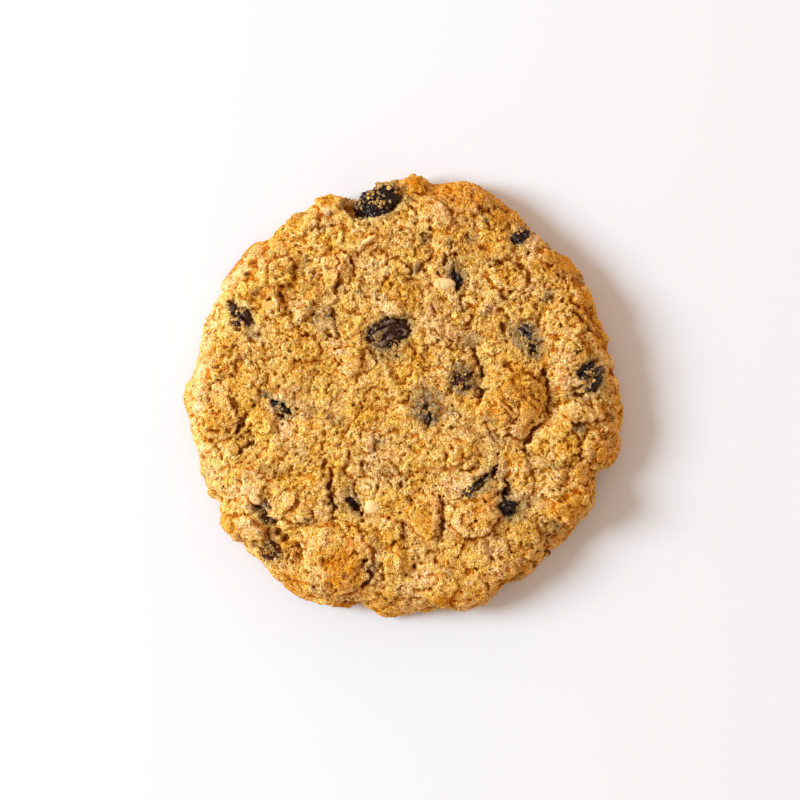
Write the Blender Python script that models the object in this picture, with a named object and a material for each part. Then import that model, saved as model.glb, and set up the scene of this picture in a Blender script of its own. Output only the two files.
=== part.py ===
# Oatmeal raisin cookie: one baked disc with an uneven outline and a lumpy crown, and the raisins
# that show at its surface, each seated in a pocket of its own. Metres, +Z up, base on z = 0.
import math

import bmesh
import bpy
from mathutils import Matrix, Vector, noise

MM = 0.001

# Driving sizes of the disc.
MEAN_RADIUS = 45.25 * MM
OUTLINE_MIDDLE = Vector((0.45, -0.85)) * MM
BASE_INSET = 2.2 * MM
BASE_LOBE_SHARE = 0.6
FOOT_INSET = 0.4 * MM
FOOT_LOBE_SHARE = 0.85
FOOT_HEIGHT = 1.1 * MM
WIDEST_HEIGHT = 3.2 * MM
SHOULDER_HEIGHT = 9.4 * MM
SHOULDER_WIDTH = 6.0 * MM
CROWN_RISE = 2.5 * MM

# Resolution: the crown is a hexagonal fan of rings, so the rim has six points for each ring.
CROWN_RINGS = 20
RIM_STEPS = 4

# Unevenness of the whole surface.
SWELL_SIZE = 9.0 * MM
SWELL_HEIGHT = 0.5 * MM
LUMP_SIZE = 5.0 * MM
LUMP_HEIGHT = 0.4 * MM
RIM_RIPPLE = 0.35 * MM

# Bulges and notches of the outline: direction and half width in degrees, depth in millimetres.
OUTLINE_LOBES = [
    (11, 7, -1.2), (23, 3.2, -1.7), (36, 9, -1.0), (54, 4, -0.9), (73, 9, 2.3), (81.5, 2.4, -1.6),
    (90, 6, 1.9), (98, 3, 0.3), (103.5, 3.4, -2.3), (112, 5, 1.1), (130, 5, -0.8), (140, 6, 0.3),
    (180, 6, 1.7), (195, 8, 0.6), (205, 3, 0.8), (209.5, 2.0, -2.4), (215.5, 6, 1.8), (230, 7, 1.5),
    (243, 6.5, 1.6), (252, 3, 0.7), (258.5, 3, -1.4), (274, 4, -0.4), (292, 8, 0.8), (313, 8, -1.9),
    (330, 4, 0.4), (339, 3.2, -1.5), (351, 5.5, 1.2),
]

# Raised blocks of the crown: x, y, half width and height in millimetres.
BLOCKS = [
    (22.0, -0.9, 6.6, 1.0), (33.5, 10.2, 6.8, 0.9), (37.0, -3.9, 4.0, 0.7), (33.5, -10.9, 4.4, 0.5),
    (34.4, -22.4, 4.4, 0.8), (15.0, -26.0, 5.2, 0.9), (4.4, -26.4, 4.6, 1.0), (-14.6, -34.9, 7.6, 0.9),
    (-3.6, -31.9, 4.6, 0.5), (-37.6, 7.2, 6.8, 0.9), (-38.6, -5.9, 5.0, 0.7), (-31.0, -18.9, 4.2, 0.8),
    (-25.0, -22.4, 3.4, 0.7), (-23.6, 8.2, 5.0, 0.7), (-11.6, 7.0, 2.8, 0.7), (-25.6, 25.2, 3.2, 0.8),
    (-14.0, 26.2, 3.4, 0.7), (-26.6, 17.0, 4.0, 0.5), (22.0, 24.2, 4.6, 0.9), (34.8, 21.9, 4.0, 0.5),
    (5.5, 35.6, 4.2, 0.6), (-33.6, -27.9, 4.4, 0.8), (-5.5, 22.1, 5.6, 0.4), (29.0, -14.9, 5.0, 0.4),
    (-24.6, -12.9, 6.0, 0.4),
]

# Open trenches between the blocks: start, end, half width and depth in millimetres.
TRENCHES = [
    ((29.2, 5.4), (30.2, -3.0), 1.7, 1.9),
    ((30.2, -3.0), (24.8, -10.0), 1.7, 1.8),
    ((14.8, 9.6), (15.9, 1.2), 1.5, 1.4),
    ((-27.2, -28.0), (-22.8, -33.0), 2.4, 1.9),
    ((21.4, -39.2), (24.4, -37.8), 1.6, 1.5),
    ((-34.8, -6.8), (-31.4, -9.8), 1.6, 1.2),
]

# Raisins: x, y, length, width, height and how far the top stands out, in millimetres; heading in degrees.
RAISINS = [
    (-6.2, 41.0, 13.2, 7.6, 5.8, 2.0, 11),
    (24.7, 33.6, 6.8, 5.0, 4.6, 1.2, 48),
    (11.0, 24.7, 6.2, 4.4, 4.4, 0.7, 98),
    (-34.2, 16.8, 8.6, 5.2, 4.6, 0.9, -50),
    (-3.4, 12.9, 9.8, 7.0, 5.2, 1.4, 20),
    (25.4, 12.2, 8.4, 6.4, 5.0, 0.7, -55),
    (38.3, 3.8, 8.6, 6.8, 5.0, 1.3, 35),
    (-26.0, -1.6, 9.4, 5.8, 4.8, 0.6, -25),
    (4.8, -4.1, 7.8, 6.0, 4.8, 0.5, 105),
    (12.6, 3.6, 8.4, 5.6, 4.8, 0.4, 75),
    (-12.6, -20.8, 9.6, 6.4, 5.0, 0.4, 112),
    (14.6, -18.4, 9.2, 4.8, 4.6, 0.6, 42),
    (21.7, -22.9, 7.2, 5.6, 4.6, 0.7, -65),
    (-27.8, -32.4, 6.4, 4.4, 4.2, 0.7, -5),
    (-28.4, -24.5, 6.8, 4.4, 4.2, 0.5, -45),
    (-8.2, -36.4, 6.0, 4.4, 4.4, 0.4, 100),
]
RAISIN_SEGMENTS = 12
RAISIN_RINGS = 7
RAISIN_FOLD = 0.09
POCKET_GAP = 0.35 * MM

COOKIE_COLOUR = (0.55, 0.27, 0.075, 1.0)
RAISIN_COLOUR = (0.035, 0.018, 0.016, 1.0)


def clear_scene():
    for obj in list(bpy.data.objects):
        bpy.data.objects.remove(obj, do_unlink=True)


def make_material(name, colour, roughness):
    material = bpy.data.materials.new(name)
    material.use_nodes = True
    shader = material.node_tree.nodes["Principled BSDF"]
    shader.inputs["Base Color"].default_value = colour
    shader.inputs["Roughness"].default_value = roughness
    shader.inputs["Metallic"].default_value = 0.0
    return material


def make_object(name, mesh_points, faces, material):
    mesh = bpy.data.meshes.new(name)
    mesh.from_pydata([tuple(point) for point in mesh_points], [], faces)
    builder = bmesh.new()
    builder.from_mesh(mesh)
    bmesh.ops.recalc_face_normals(builder, faces=builder.faces)
    builder.to_mesh(mesh)
    builder.free()
    mesh.shade_smooth()
    mesh.materials.append(material)
    obj = bpy.data.objects.new(name, mesh)
    bpy.context.scene.collection.objects.link(obj)
    return obj


def bell(distance, half_width):
    return math.exp(-((distance / half_width) ** 2))


def plateau(distance, half_width):
    return math.exp(-((distance / half_width) ** 4))


def outline_radius(angle):
    radius = MEAN_RADIUS
    for direction, half_width, depth in OUTLINE_LOBES:
        turn = (math.degrees(angle) - direction + 180) % 360 - 180
        radius += depth * MM * bell(turn, half_width)
    return radius


def distance_to_line(x, y, start, end):
    point = Vector((x, y))
    start, end = Vector(start) * MM, Vector(end) * MM
    run = end - start
    along = min(max((point - start).dot(run) / run.length_squared, 0.0), 1.0)
    return (point - start - run * along).length


def relief(x, y):
    # Height added to the smooth dome by a slow swell, lumps, blocks and trenches.
    place = Vector((x, y, 0.0))
    height = SWELL_HEIGHT * noise.noise(place / SWELL_SIZE) + LUMP_HEIGHT * noise.noise(place / LUMP_SIZE)
    for block_x, block_y, half_width, rise in BLOCKS:
        distance = math.hypot(x - block_x * MM, y - block_y * MM)
        height += rise * MM * plateau(distance, half_width * MM)
    for start, end, half_width, depth in TRENCHES:
        height -= depth * MM * bell(distance_to_line(x, y, start, end), half_width * MM)
    return height


def top_height(x, y):
    # Height of the upper surface over a point: a rounded shoulder, then a low dome with its relief.
    offset_x, offset_y = x - OUTLINE_MIDDLE.x, y - OUTLINE_MIDDLE.y
    angle = math.atan2(offset_y, offset_x)
    radius = outline_radius(angle)
    inset = max(radius - math.hypot(offset_x, offset_y), 0.0)
    climb = min(inset / SHOULDER_WIDTH, 1.0)
    shoulder = math.sqrt(1 - (1 - climb) ** 2)
    dome = CROWN_RISE * (1 - ((radius - inset) / radius) ** 2)
    full = SHOULDER_HEIGHT + relief(x, y) - WIDEST_HEIGHT
    return WIDEST_HEIGHT + full * shoulder + dome


def crown_point(angle, share):
    radius = share * (outline_radius(angle) - SHOULDER_WIDTH)
    x = OUTLINE_MIDDLE.x + radius * math.cos(angle)
    y = OUTLINE_MIDDLE.y + radius * math.sin(angle)
    return Vector((x, y, top_height(x, y)))


def rim_point(angle, inset, height=None, lobe_share=1.0):
    # A point near the rim. Towards the base the lobes fade, so the foot shows inside the notches.
    ripple = RIM_RIPPLE * noise.noise(Vector((math.cos(angle), math.sin(angle), inset / MM)) * 6)
    radius = MEAN_RADIUS + lobe_share * (outline_radius(angle) - MEAN_RADIUS) - inset
    x = OUTLINE_MIDDLE.x + radius * math.cos(angle)
    y = OUTLINE_MIDDLE.y + radius * math.sin(angle)
    if height is None:
        height = top_height(x, y)
    return Vector((x + ripple * math.cos(angle), y + ripple * math.sin(angle), height))


def cookie_rings():
    # Rings of points from the crown's middle out over the rim and down to the base.
    rings = [[crown_point(0.0, 0.0)]]
    for ring in range(1, CROWN_RINGS + 1):
        count = 6 * ring
        rings.append([crown_point(2 * math.pi * i / count, ring / CROWN_RINGS) for i in range(count)])
    around = [2 * math.pi * i / (6 * CROWN_RINGS) for i in range(6 * CROWN_RINGS)]
    for step in range(1, RIM_STEPS):
        turn = math.pi / 2 * step / RIM_STEPS
        inset = SHOULDER_WIDTH * (1 - math.sin(turn))
        rings.append([rim_point(angle, inset) for angle in around])
    rings.append([rim_point(angle, 0.0, WIDEST_HEIGHT) for angle in around])
    rings.append([rim_point(angle, FOOT_INSET, FOOT_HEIGHT, FOOT_LOBE_SHARE) for angle in around])
    rings.append([rim_point(angle, BASE_INSET, 0.0, BASE_LOBE_SHARE) for angle in around])
    return rings


def ring_starts(rings):
    starts, total = [], 0
    for ring in rings:
        starts.append(total)
        total += len(ring)
    return starts


def fan_faces(start, inner_start, ring):
    # Faces between a ring of six times `ring` points and the next smaller ring inside it.
    inner, outer = 6 * (ring - 1), 6 * ring
    faces = []
    for sector in range(6):
        for i in range(ring):
            here = start + (sector * ring + i) % outer
            onward = start + (sector * ring + i + 1) % outer
            within = inner_start + ((sector * (ring - 1) + i) % inner if inner else 0)
            faces.append((within, here, onward))
            if i < ring - 1:
                beside = inner_start + (sector * (ring - 1) + i + 1) % inner
                faces.append((within, onward, beside))
    return faces


def band_faces(upper, lower, count):
    faces = []
    for i in range(count):
        onward = (i + 1) % count
        faces.append((upper + i, lower + i, lower + onward))
        faces.append((upper + i, lower + onward, upper + onward))
    return faces


def make_cookie(material):
    rings = cookie_rings()
    starts = ring_starts(rings)
    faces = []
    for ring in range(1, CROWN_RINGS + 1):
        faces += fan_faces(starts[ring], starts[ring - 1], ring)
    around = 6 * CROWN_RINGS
    for ring in range(CROWN_RINGS, len(rings) - 1):
        faces += band_faces(starts[ring], starts[ring + 1], around)
    faces.append(tuple(reversed(range(starts[-1], starts[-1] + around))))
    points = [point for ring in rings for point in ring]
    return make_object("cookie", points, faces, material)


def raisin_radius(direction, index, size):
    # A flattened drop, creased along its length, with shallow dimples.
    length, width, height = (0.5 * side * MM for side in size)
    base = 1 / math.sqrt(
        (direction.x / length) ** 2 + (direction.y / width) ** 2 + (direction.z / height) ** 2
    )
    across = math.atan2(direction.z, direction.y)
    crease = math.cos(3 * across + 1.7 * index) * (1 - abs(direction.x))
    dimple = noise.noise(direction * 2.1 + Vector((index * 3.7, 0.0, 0.0)))
    return base * (1 + RAISIN_FOLD * crease + 1.2 * RAISIN_FOLD * dimple)


def raisin_shell(index, size, growth):
    points = [Vector((0, 0, 1)), Vector((0, 0, -1))]
    for ring in range(1, RAISIN_RINGS):
        polar = math.pi * ring / RAISIN_RINGS
        for segment in range(RAISIN_SEGMENTS):
            around = 2 * math.pi * segment / RAISIN_SEGMENTS
            points.append(
                Vector(
                    (math.sin(polar) * math.cos(around), math.sin(polar) * math.sin(around), math.cos(polar))
                )
            )
    shell = [point * (raisin_radius(point, index, size) + growth) for point in points]
    faces = []
    last = 2 + (RAISIN_RINGS - 2) * RAISIN_SEGMENTS
    for segment in range(RAISIN_SEGMENTS):
        onward = (segment + 1) % RAISIN_SEGMENTS
        faces.append((0, 2 + segment, 2 + onward))
        faces.append((1, last + onward, last + segment))
    for ring in range(RAISIN_RINGS - 2):
        upper = 2 + ring * RAISIN_SEGMENTS
        faces += band_faces(upper, upper + RAISIN_SEGMENTS, RAISIN_SEGMENTS)
    return shell, faces


def raisin_placement(x, y, height, stand_out, heading):
    # The raisin lies in the surface: its flat side faces out along the surface's normal.
    step = 2.0 * MM
    slope_x = (top_height(x + step, y) - top_height(x - step, y)) / (2 * step)
    slope_y = (top_height(x, y + step) - top_height(x, y - step)) / (2 * step)
    normal = Vector((-slope_x, -slope_y, 1.0)).normalized()
    ahead = Vector((math.cos(math.radians(heading)), math.sin(math.radians(heading)), 0.0))
    ahead = (ahead - normal * ahead.dot(normal)).normalized()
    side = normal.cross(ahead)
    centre = Vector((x, y, top_height(x, y))) + normal * (stand_out - height / 2)
    turn = Matrix((ahead, side, normal)).transposed().to_4x4()
    return Matrix.Translation(centre) @ turn


def make_raisins(material):
    raisins = []
    pocket_points, pocket_faces = [], []
    for index, (x, y, length, width, height, stand_out, heading) in enumerate(RAISINS):
        place = raisin_placement(x * MM, y * MM, height * MM, stand_out * MM, heading)
        size = (length, width, height)
        shell, faces = raisin_shell(index, size, 0.0)
        raisins.append(make_object(f"raisin_{index + 1:02d}", [place @ p for p in shell], faces, material))
        shell, faces = raisin_shell(index, size, POCKET_GAP)
        first = len(pocket_points)
        pocket_points += [place @ point for point in shell]
        pocket_faces += [tuple(first + corner for corner in face) for face in faces]
    pockets = make_object("raisin_pockets", pocket_points, pocket_faces, material)
    pockets.hide_render = True
    pockets.display_type = "WIRE"
    return raisins, pockets


def cut_pockets(cookie, pockets):
    cut = cookie.modifiers.new("raisin pockets", "BOOLEAN")
    cut.operation = "DIFFERENCE"
    cut.solver = "EXACT"
    cut.object = pockets


def centre_on_origin(cookie, others):
    # The box of the disc is centred on the origin, so its outline's middle gives way by a hair.
    corners = [vertex.co for vertex in cookie.data.vertices]
    middle_x = (min(c.x for c in corners) + max(c.x for c in corners)) / 2
    middle_y = (min(c.y for c in corners) + max(c.y for c in corners)) / 2
    shift = Matrix.Translation((-middle_x, -middle_y, 0.0))
    for obj in [cookie] + others:
        obj.data.transform(shift)


clear_scene()
cookie = make_cookie(make_material("baked dough", COOKIE_COLOUR, 0.85))
raisins, pockets = make_raisins(make_material("raisin skin", RAISIN_COLOUR, 0.55))
centre_on_origin(cookie, raisins + [pockets])
cut_pockets(cookie, pockets)
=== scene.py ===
import math

import bmesh
import bpy
import numpy as np
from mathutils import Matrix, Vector, noise
from mathutils.bvhtree import BVHTree


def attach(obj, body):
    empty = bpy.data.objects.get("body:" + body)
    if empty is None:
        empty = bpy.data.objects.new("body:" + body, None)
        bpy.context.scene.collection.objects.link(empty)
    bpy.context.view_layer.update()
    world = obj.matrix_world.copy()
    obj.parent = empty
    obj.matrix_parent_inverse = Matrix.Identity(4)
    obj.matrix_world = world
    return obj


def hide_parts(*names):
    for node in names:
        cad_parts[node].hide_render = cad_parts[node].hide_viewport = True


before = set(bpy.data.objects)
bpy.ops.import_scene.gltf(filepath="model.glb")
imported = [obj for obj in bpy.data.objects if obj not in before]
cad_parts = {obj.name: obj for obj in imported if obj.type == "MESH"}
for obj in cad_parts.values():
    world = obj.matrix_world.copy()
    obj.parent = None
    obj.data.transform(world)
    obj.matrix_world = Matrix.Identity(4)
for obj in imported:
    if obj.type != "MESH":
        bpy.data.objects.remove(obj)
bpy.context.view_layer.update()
mm = 0.001
print("frame loaded:", len(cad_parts), "solids")

# Places on the cookie are in millimetres from the middle of its outline, seen from above.
outlineMiddle = Vector((0.45, -0.85))


# small helpers for node trees

def tint(red, green, blue, alpha=1.0):
    # a screen colour, 0 to 255, as the linear colour that shaders use
    def linear(level):
        level /= 255
        return level / 12.92 if level <= 0.04045 else ((level + 0.055) / 1.055) ** 2.4
    return (linear(red), linear(green), linear(blue), alpha)


def addNode(tree, kind, inputs=None, **settings):
    node = tree.nodes.new(kind)
    for name, value in settings.items():
        setattr(node, name, value)
    for key, value in (inputs or {}).items():
        if isinstance(value, bpy.types.NodeSocket):
            tree.links.new(value, node.inputs[key])
        else:
            node.inputs[key].default_value = value
    return node


def calc(tree, operation, *values, clamp=False):
    inputs = dict(enumerate(values))
    return addNode(tree, "ShaderNodeMath", inputs, operation=operation, use_clamp=clamp).outputs[0]


def add(tree, first, second):
    return calc(tree, "ADD", first, second)


def less(tree, first, second):
    return calc(tree, "SUBTRACT", first, second)


def times(tree, first, *others, clamp=False):
    for other in others:
        first = calc(tree, "MULTIPLY", first, other, clamp=clamp)
    return first


def timesAdd(tree, first, second, third):
    return calc(tree, "MULTIPLY_ADD", first, second, third)


def vectorCalc(tree, operation, first, second):
    inputs = {0: first, "Scale" if operation == "SCALE" else 1: second}
    node = addNode(tree, "ShaderNodeVectorMath", inputs, operation=operation)
    return node.outputs["Value" if operation == "DOT_PRODUCT" else "Vector"]


def scaled(tree, vector, amount):
    return vectorCalc(tree, "SCALE", vector, amount)


def pushed(tree, place, direction, reach):
    return vectorCalc(tree, "ADD", place, scaled(tree, direction, reach))


def part(tree, vector, number=0):
    # one of the three numbers of a vector or a colour
    return addNode(tree, "ShaderNodeSeparateXYZ", {0: vector}).outputs[number]


def joined(tree, *numbers):
    return addNode(tree, "ShaderNodeCombineXYZ", dict(enumerate(numbers))).outputs[0]


def remap(tree, value, low, high, toLow=0.0, toHigh=1.0, smooth=True):
    inputs = dict(enumerate((value, low, high, toLow, toHigh)))
    kind = "SMOOTHSTEP" if smooth else "LINEAR"
    return addNode(tree, "ShaderNodeMapRange", inputs, interpolation_type=kind).outputs[0]


def blendColour(tree, share, first, second, mode="MIX"):
    settings = {"data_type": "RGBA", "blend_type": mode, "clamp_factor": True}
    return addNode(tree, "ShaderNodeMix", {0: share, 6: first, 7: second}, **settings).outputs[2]


def perSize(tree, size):
    # how often something `size` millimetres across fits into a metre
    return calc(tree, "DIVIDE", 1 / mm, size) if isinstance(size, bpy.types.NodeSocket) else 1 / (size * mm)


def speckle(tree, place, size, detail=2.0, roughness=0.5, seed=0.0):
    # soft noise with features about `size` millimetres across; gives (value, colour)
    inputs = {"Vector": place, "Scale": perSize(tree, size)}
    inputs |= {"Detail": detail, "Roughness": roughness, "W": seed}
    return addNode(tree, "ShaderNodeTexNoise", inputs, noise_dimensions="4D").outputs[:2]


def cells(tree, place, size, seed=0.0):
    # cells about `size` millimetres across; gives (distance, colour of the cell)
    shifted = vectorCalc(tree, "ADD", place, (seed * 0.173, seed * 0.089, seed * 0.057))
    inputs = {"Vector": shifted, "Scale": perSize(tree, size)}
    return addNode(tree, "ShaderNodeTexVoronoi", inputs).outputs[:2]


def wobble(tree, place, size, detail=2.0, seed=0.0):
    # soft noise that points any way, up to half a unit
    return vectorCalc(tree, "SUBTRACT", speckle(tree, place, size, detail, 0.5, seed)[1], (0.5, 0.5, 0.5))


def newMaterial(name, roughness, specular):
    material = bpy.data.materials.new(name)
    material.use_nodes = True
    tree = material.node_tree
    shader = tree.nodes["Principled BSDF"]
    shader.inputs["Roughness"].default_value = roughness
    shader.inputs["Specular IOR Level"].default_value = specular
    return material, tree, shader


# small helpers for geometry

def newObject(name, mesh):
    obj = bpy.data.objects.new(name, mesh)
    bpy.context.scene.collection.objects.link(obj)
    return obj


def geometryTree(name, **defaults):
    # an empty tree with a geometry input, a geometry output and one named number input for each default
    tree = bpy.data.node_groups.new(name, "GeometryNodeTree")
    tree.interface.new_socket("Geometry", in_out="INPUT", socket_type="NodeSocketGeometry")
    for socketName, value in defaults.items():
        socket = tree.interface.new_socket(socketName, in_out="INPUT", socket_type="NodeSocketFloat")
        socket.default_value = value
    tree.interface.new_socket("Geometry", in_out="OUTPUT", socket_type="NodeSocketGeometry")
    start = tree.nodes.new("NodeGroupInput")
    end = tree.nodes.new("NodeGroupOutput")
    return tree, start.outputs, end.inputs[0]


def bakeTree(name, mesh, tree, values):
    # runs the tree on a mesh and keeps the result as a plain mesh in a new object
    maker = newObject(name + "Maker", mesh)
    modifier = maker.modifiers.new(tree.name, "NODES")
    modifier.node_group = tree
    for item in tree.interface.items_tree:
        if item.in_out == "INPUT" and item.name in values:
            modifier[item.identifier] = values[item.name]
    graph = bpy.context.evaluated_depsgraph_get()
    baked = bpy.data.meshes.new_from_object(maker.evaluated_get(graph), preserve_all_data_layers=True,
                                            depsgraph=graph)
    bpy.data.objects.remove(maker)
    baked.name = name
    return newObject(name, baked)


def endTree(tree, geometry, material, out, smooth=False):
    # every tree ends alike: shading, real copies, material
    inputs = {"Geometry": geometry, "Shade Smooth": smooth}
    shaded = addNode(tree, "GeometryNodeSetShadeSmooth", inputs).outputs[0]
    real = addNode(tree, "GeometryNodeRealizeInstances", {"Geometry": shaded}).outputs[0]
    last = addNode(tree, "GeometryNodeSetMaterial", {"Geometry": real, "Material": material})
    tree.links.new(last.outputs[0], out)


def storeValues(mesh, name, values):
    layer = mesh.attributes.new(name, "FLOAT", "POINT")
    layer.data.foreach_set("value", np.asarray(values, np.float32))


def meshPoints(mesh):
    points = np.empty(len(mesh.vertices) * 3, np.float32)
    mesh.vertices.foreach_get("co", points)
    return points.reshape(-1, 3).astype(float)


def surfaceTree(objects):
    # what rays are cast at: the faces of several objects together
    points, faces = [], []
    for obj in objects:
        first = len(points)
        points += [vertex.co.copy() for vertex in obj.data.vertices]
        faces += [tuple(first + corner for corner in face.vertices) for face in obj.data.polygons]
    return BVHTree.FromPolygons(points, faces)


# camera, light and floor

studio = {
    "frameWidth": 169.2 * mm,        # what the picture takes in at the cookie's widest height
    "aimAt": (-0.83 * mm, -1.06 * mm),
    "widestHeight": 3.2 * mm,
    "lens": 100.0,
    "keyAngle": 33.0,                # degrees above the floor
    "keyDirection": 173.0,           # degrees round from +X
    "keyDistance": 1.6,
    "keySize": 0.74,
    "keyPower": 37.6,
    "keyColour": (0.72, 0.87, 1.0),
    "horizonStrength": 1.25,
    "zenithStrength": 0.38,
    "skyLean": 0.35,                 # how much brighter the room is on the +Y side
    "skyColour": (1.0, 0.80, 0.66),
    "floorColour": tint(232, 231, 232),
    "floorHalf": 3.0,
    "floorDrop": -0.05 * mm,
}


def makeStudio():
    sensor = 36.0
    distance = studio["frameWidth"] * studio["lens"] / sensor
    cameraData = bpy.data.cameras.new("camera")
    cameraData.lens = studio["lens"]
    cameraData.sensor_width = sensor
    cameraData.clip_start = 0.01
    camera = newObject("camera", cameraData)
    camera.location = (*studio["aimAt"], studio["widestHeight"] + distance)
    bpy.context.scene.camera = camera

    rise = math.radians(studio["keyAngle"])
    around = math.radians(studio["keyDirection"])
    away = Vector((math.cos(around) * math.cos(rise), math.sin(around) * math.cos(rise), math.sin(rise)))
    keyData = bpy.data.lights.new("key", "AREA")
    keyData.shape = "DISK"
    keyData.size = studio["keySize"]
    keyData.energy = studio["keyPower"]
    keyData.color = studio["keyColour"]
    key = newObject("key", keyData)
    key.location = away * studio["keyDistance"]
    key.rotation_euler = away.to_track_quat("Z", "Y").to_euler()

    world = bpy.data.worlds.new("softRoom")
    world.use_nodes = True
    tree = world.node_tree
    way = addNode(tree, "ShaderNodeTexCoord").outputs["Generated"]
    levels = (studio["horizonStrength"], studio["zenithStrength"])
    strength = remap(tree, part(tree, way, 2), 0.0, 1.0, *levels, smooth=False)
    lean = timesAdd(tree, part(tree, way, 1), studio["skyLean"], 1.0)
    tree.links.new(times(tree, strength, lean), tree.nodes["Background"].inputs["Strength"])
    tree.nodes["Background"].inputs["Color"].default_value = (*studio["skyColour"], 1.0)
    bpy.context.scene.world = world
    bpy.context.scene.view_settings.view_transform = "Standard"

    half = studio["floorHalf"]
    drop = studio["floorDrop"]
    corners = [(-half, -half, drop), (half, -half, drop), (half, half, drop), (-half, half, drop)]
    floorMesh = bpy.data.meshes.new("floor")
    floorMesh.from_pydata(corners, [], [(0, 1, 2, 3)])
    material, tree, shader = newMaterial("paleFloor", 0.7, 0.2)
    shader.inputs["Base Color"].default_value = studio["floorColour"]
    floorMesh.materials.append(material)
    floor = newObject("floor", floorMesh)


makeStudio()
print("studio made")


# materials

def readAttribute(tree, name):
    return addNode(tree, "ShaderNodeAttribute", attribute_name=name).outputs["Fac"]


def addBump(tree, shader, height, strength, distance):
    bump = addNode(tree, "ShaderNodeBump", {"Strength": strength, "Distance": distance, "Height": height})
    tree.links.new(bump.outputs[0], shader.inputs["Normal"])


def shaderGroup(name, numbers, outputs, wire):
    # a shader group with a Place input and the named numbers; `wire` builds it and returns what goes out
    group = bpy.data.node_groups.new(name, "ShaderNodeTree")
    group.interface.new_socket("Place", in_out="INPUT", socket_type="NodeSocketVector")
    for socketName, value in numbers.items():
        socket = group.interface.new_socket(socketName, in_out="INPUT", socket_type="NodeSocketFloat")
        socket.default_value = value
    for socketName, kind in outputs.items():
        group.interface.new_socket(socketName, in_out="OUTPUT", socket_type="NodeSocket" + kind)
    start = group.nodes.new("NodeGroupInput")
    end = group.nodes.new("NodeGroupOutput")
    for socketName, value in wire(group, start.outputs).items():
        group.links.new(value, end.inputs[socketName])
    return group


def useGroup(tree, group, inputs):
    return addNode(tree, "ShaderNodeGroup", inputs, node_tree=group).outputs


def wirePatches(tree, given):
    # soft blotches, from nothing at Low to full at High
    level = speckle(tree, given["Place"], given["Size"], 4.0, 0.65, given["Seed"])[0]
    return {"Mask": remap(tree, level, given["Low"], given["High"])}


def wireCrumbGrain(tree, given):
    # light and dark grains a quarter of a millimetre across, with small pits sown between them that the
    # materials paint dark as painted shade
    salt = speckle(tree, given["Place"], given["Grain Size"], 2.0, 0.7, 7.0)[0]
    salt = remap(tree, salt, 0.32, 0.68, -1.0, 1.0, smooth=False)
    salt = times(tree, salt, given["Contrast"])
    shade = addNode(tree, "ShaderNodeCombineXYZ", {key: timesAdd(tree, salt, step, 1.0)
                                                   for key, step in enumerate((0.24, 0.31, 0.46))}).outputs[0]
    gap, tone = cells(tree, given["Place"], given["Pit Spacing"], 6.0)
    width = remap(tree, part(tree, tone), 0.45, 1.0, 0.02, given["Pit Width"], smooth=False)
    pits = remap(tree, less(tree, width, gap), -0.05, 0.04)
    clumps = remap(tree, speckle(tree, given["Place"], 3.0, 3.0, 0.6, 21.0)[0], 0.44, 0.61, 0.12, 1.0)
    return {"Shade": shade, "Pits": times(tree, pits, clumps)}


patchNumbers = {"Size": 2.0, "Low": 0.4, "High": 0.6, "Seed": 0.0}
grainNumbers = {"Grain Size": 0.24, "Contrast": 1.0, "Pit Spacing": 0.7, "Pit Width": 0.3}
patches = shaderGroup("patches", patchNumbers, {"Mask": "Float"}, wirePatches)
crumbGrain = shaderGroup("crumbGrain", grainNumbers, {"Shade": "Color", "Pits": "Float"}, wireCrumbGrain)

bakedLook = {
    "pale": tint(248, 202, 144),
    "straw": tint(241, 194, 118),
    "golden": tint(233, 181, 86),
    "amber": tint(221, 158, 54),
    "brown": tint(180, 114, 28),
    "khaki": tint(204, 168, 108),
    "yellower": (1.0, 1.03, 0.82, 1.0),
    "pinker": (1.0, 0.95, 1.06, 1.0),
    # painted shade, multiplied into hollows
    "hollowShade": tint(222, 166, 62),
    "toasted": tint(216, 135, 14),
    # painted shade for hollows, pits, cracks and the feet of blocks
    "dark": tint(70, 33, 2),
    "stain": tint(108, 92, 78),
    "crust": tint(160, 98, 42),
    "spotSize": 5.0,
    "grainSize": 0.50,
    "pitSpacing": 0.62,
    "pitWidth": 0.38,
    "grainContrast": 2.6,
    "grainBump": 0.18 * mm,
}


def blotchMask(tree, place, size, low, high, seed):
    inputs = {"Place": place, "Size": size, "Low": low, "High": high, "Seed": seed}
    return useGroup(tree, patches, inputs)["Mask"]


def colourRamp(tree, value, stops):
    node = addNode(tree, "ShaderNodeValToRGB", {0: value})
    while len(node.color_ramp.elements) < len(stops):
        node.color_ramp.elements.new(0.5)
    for element, (position, colour) in zip(node.color_ramp.elements, stops):
        element.position = position
        element.color = colour
    return node.outputs[0]


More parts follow.
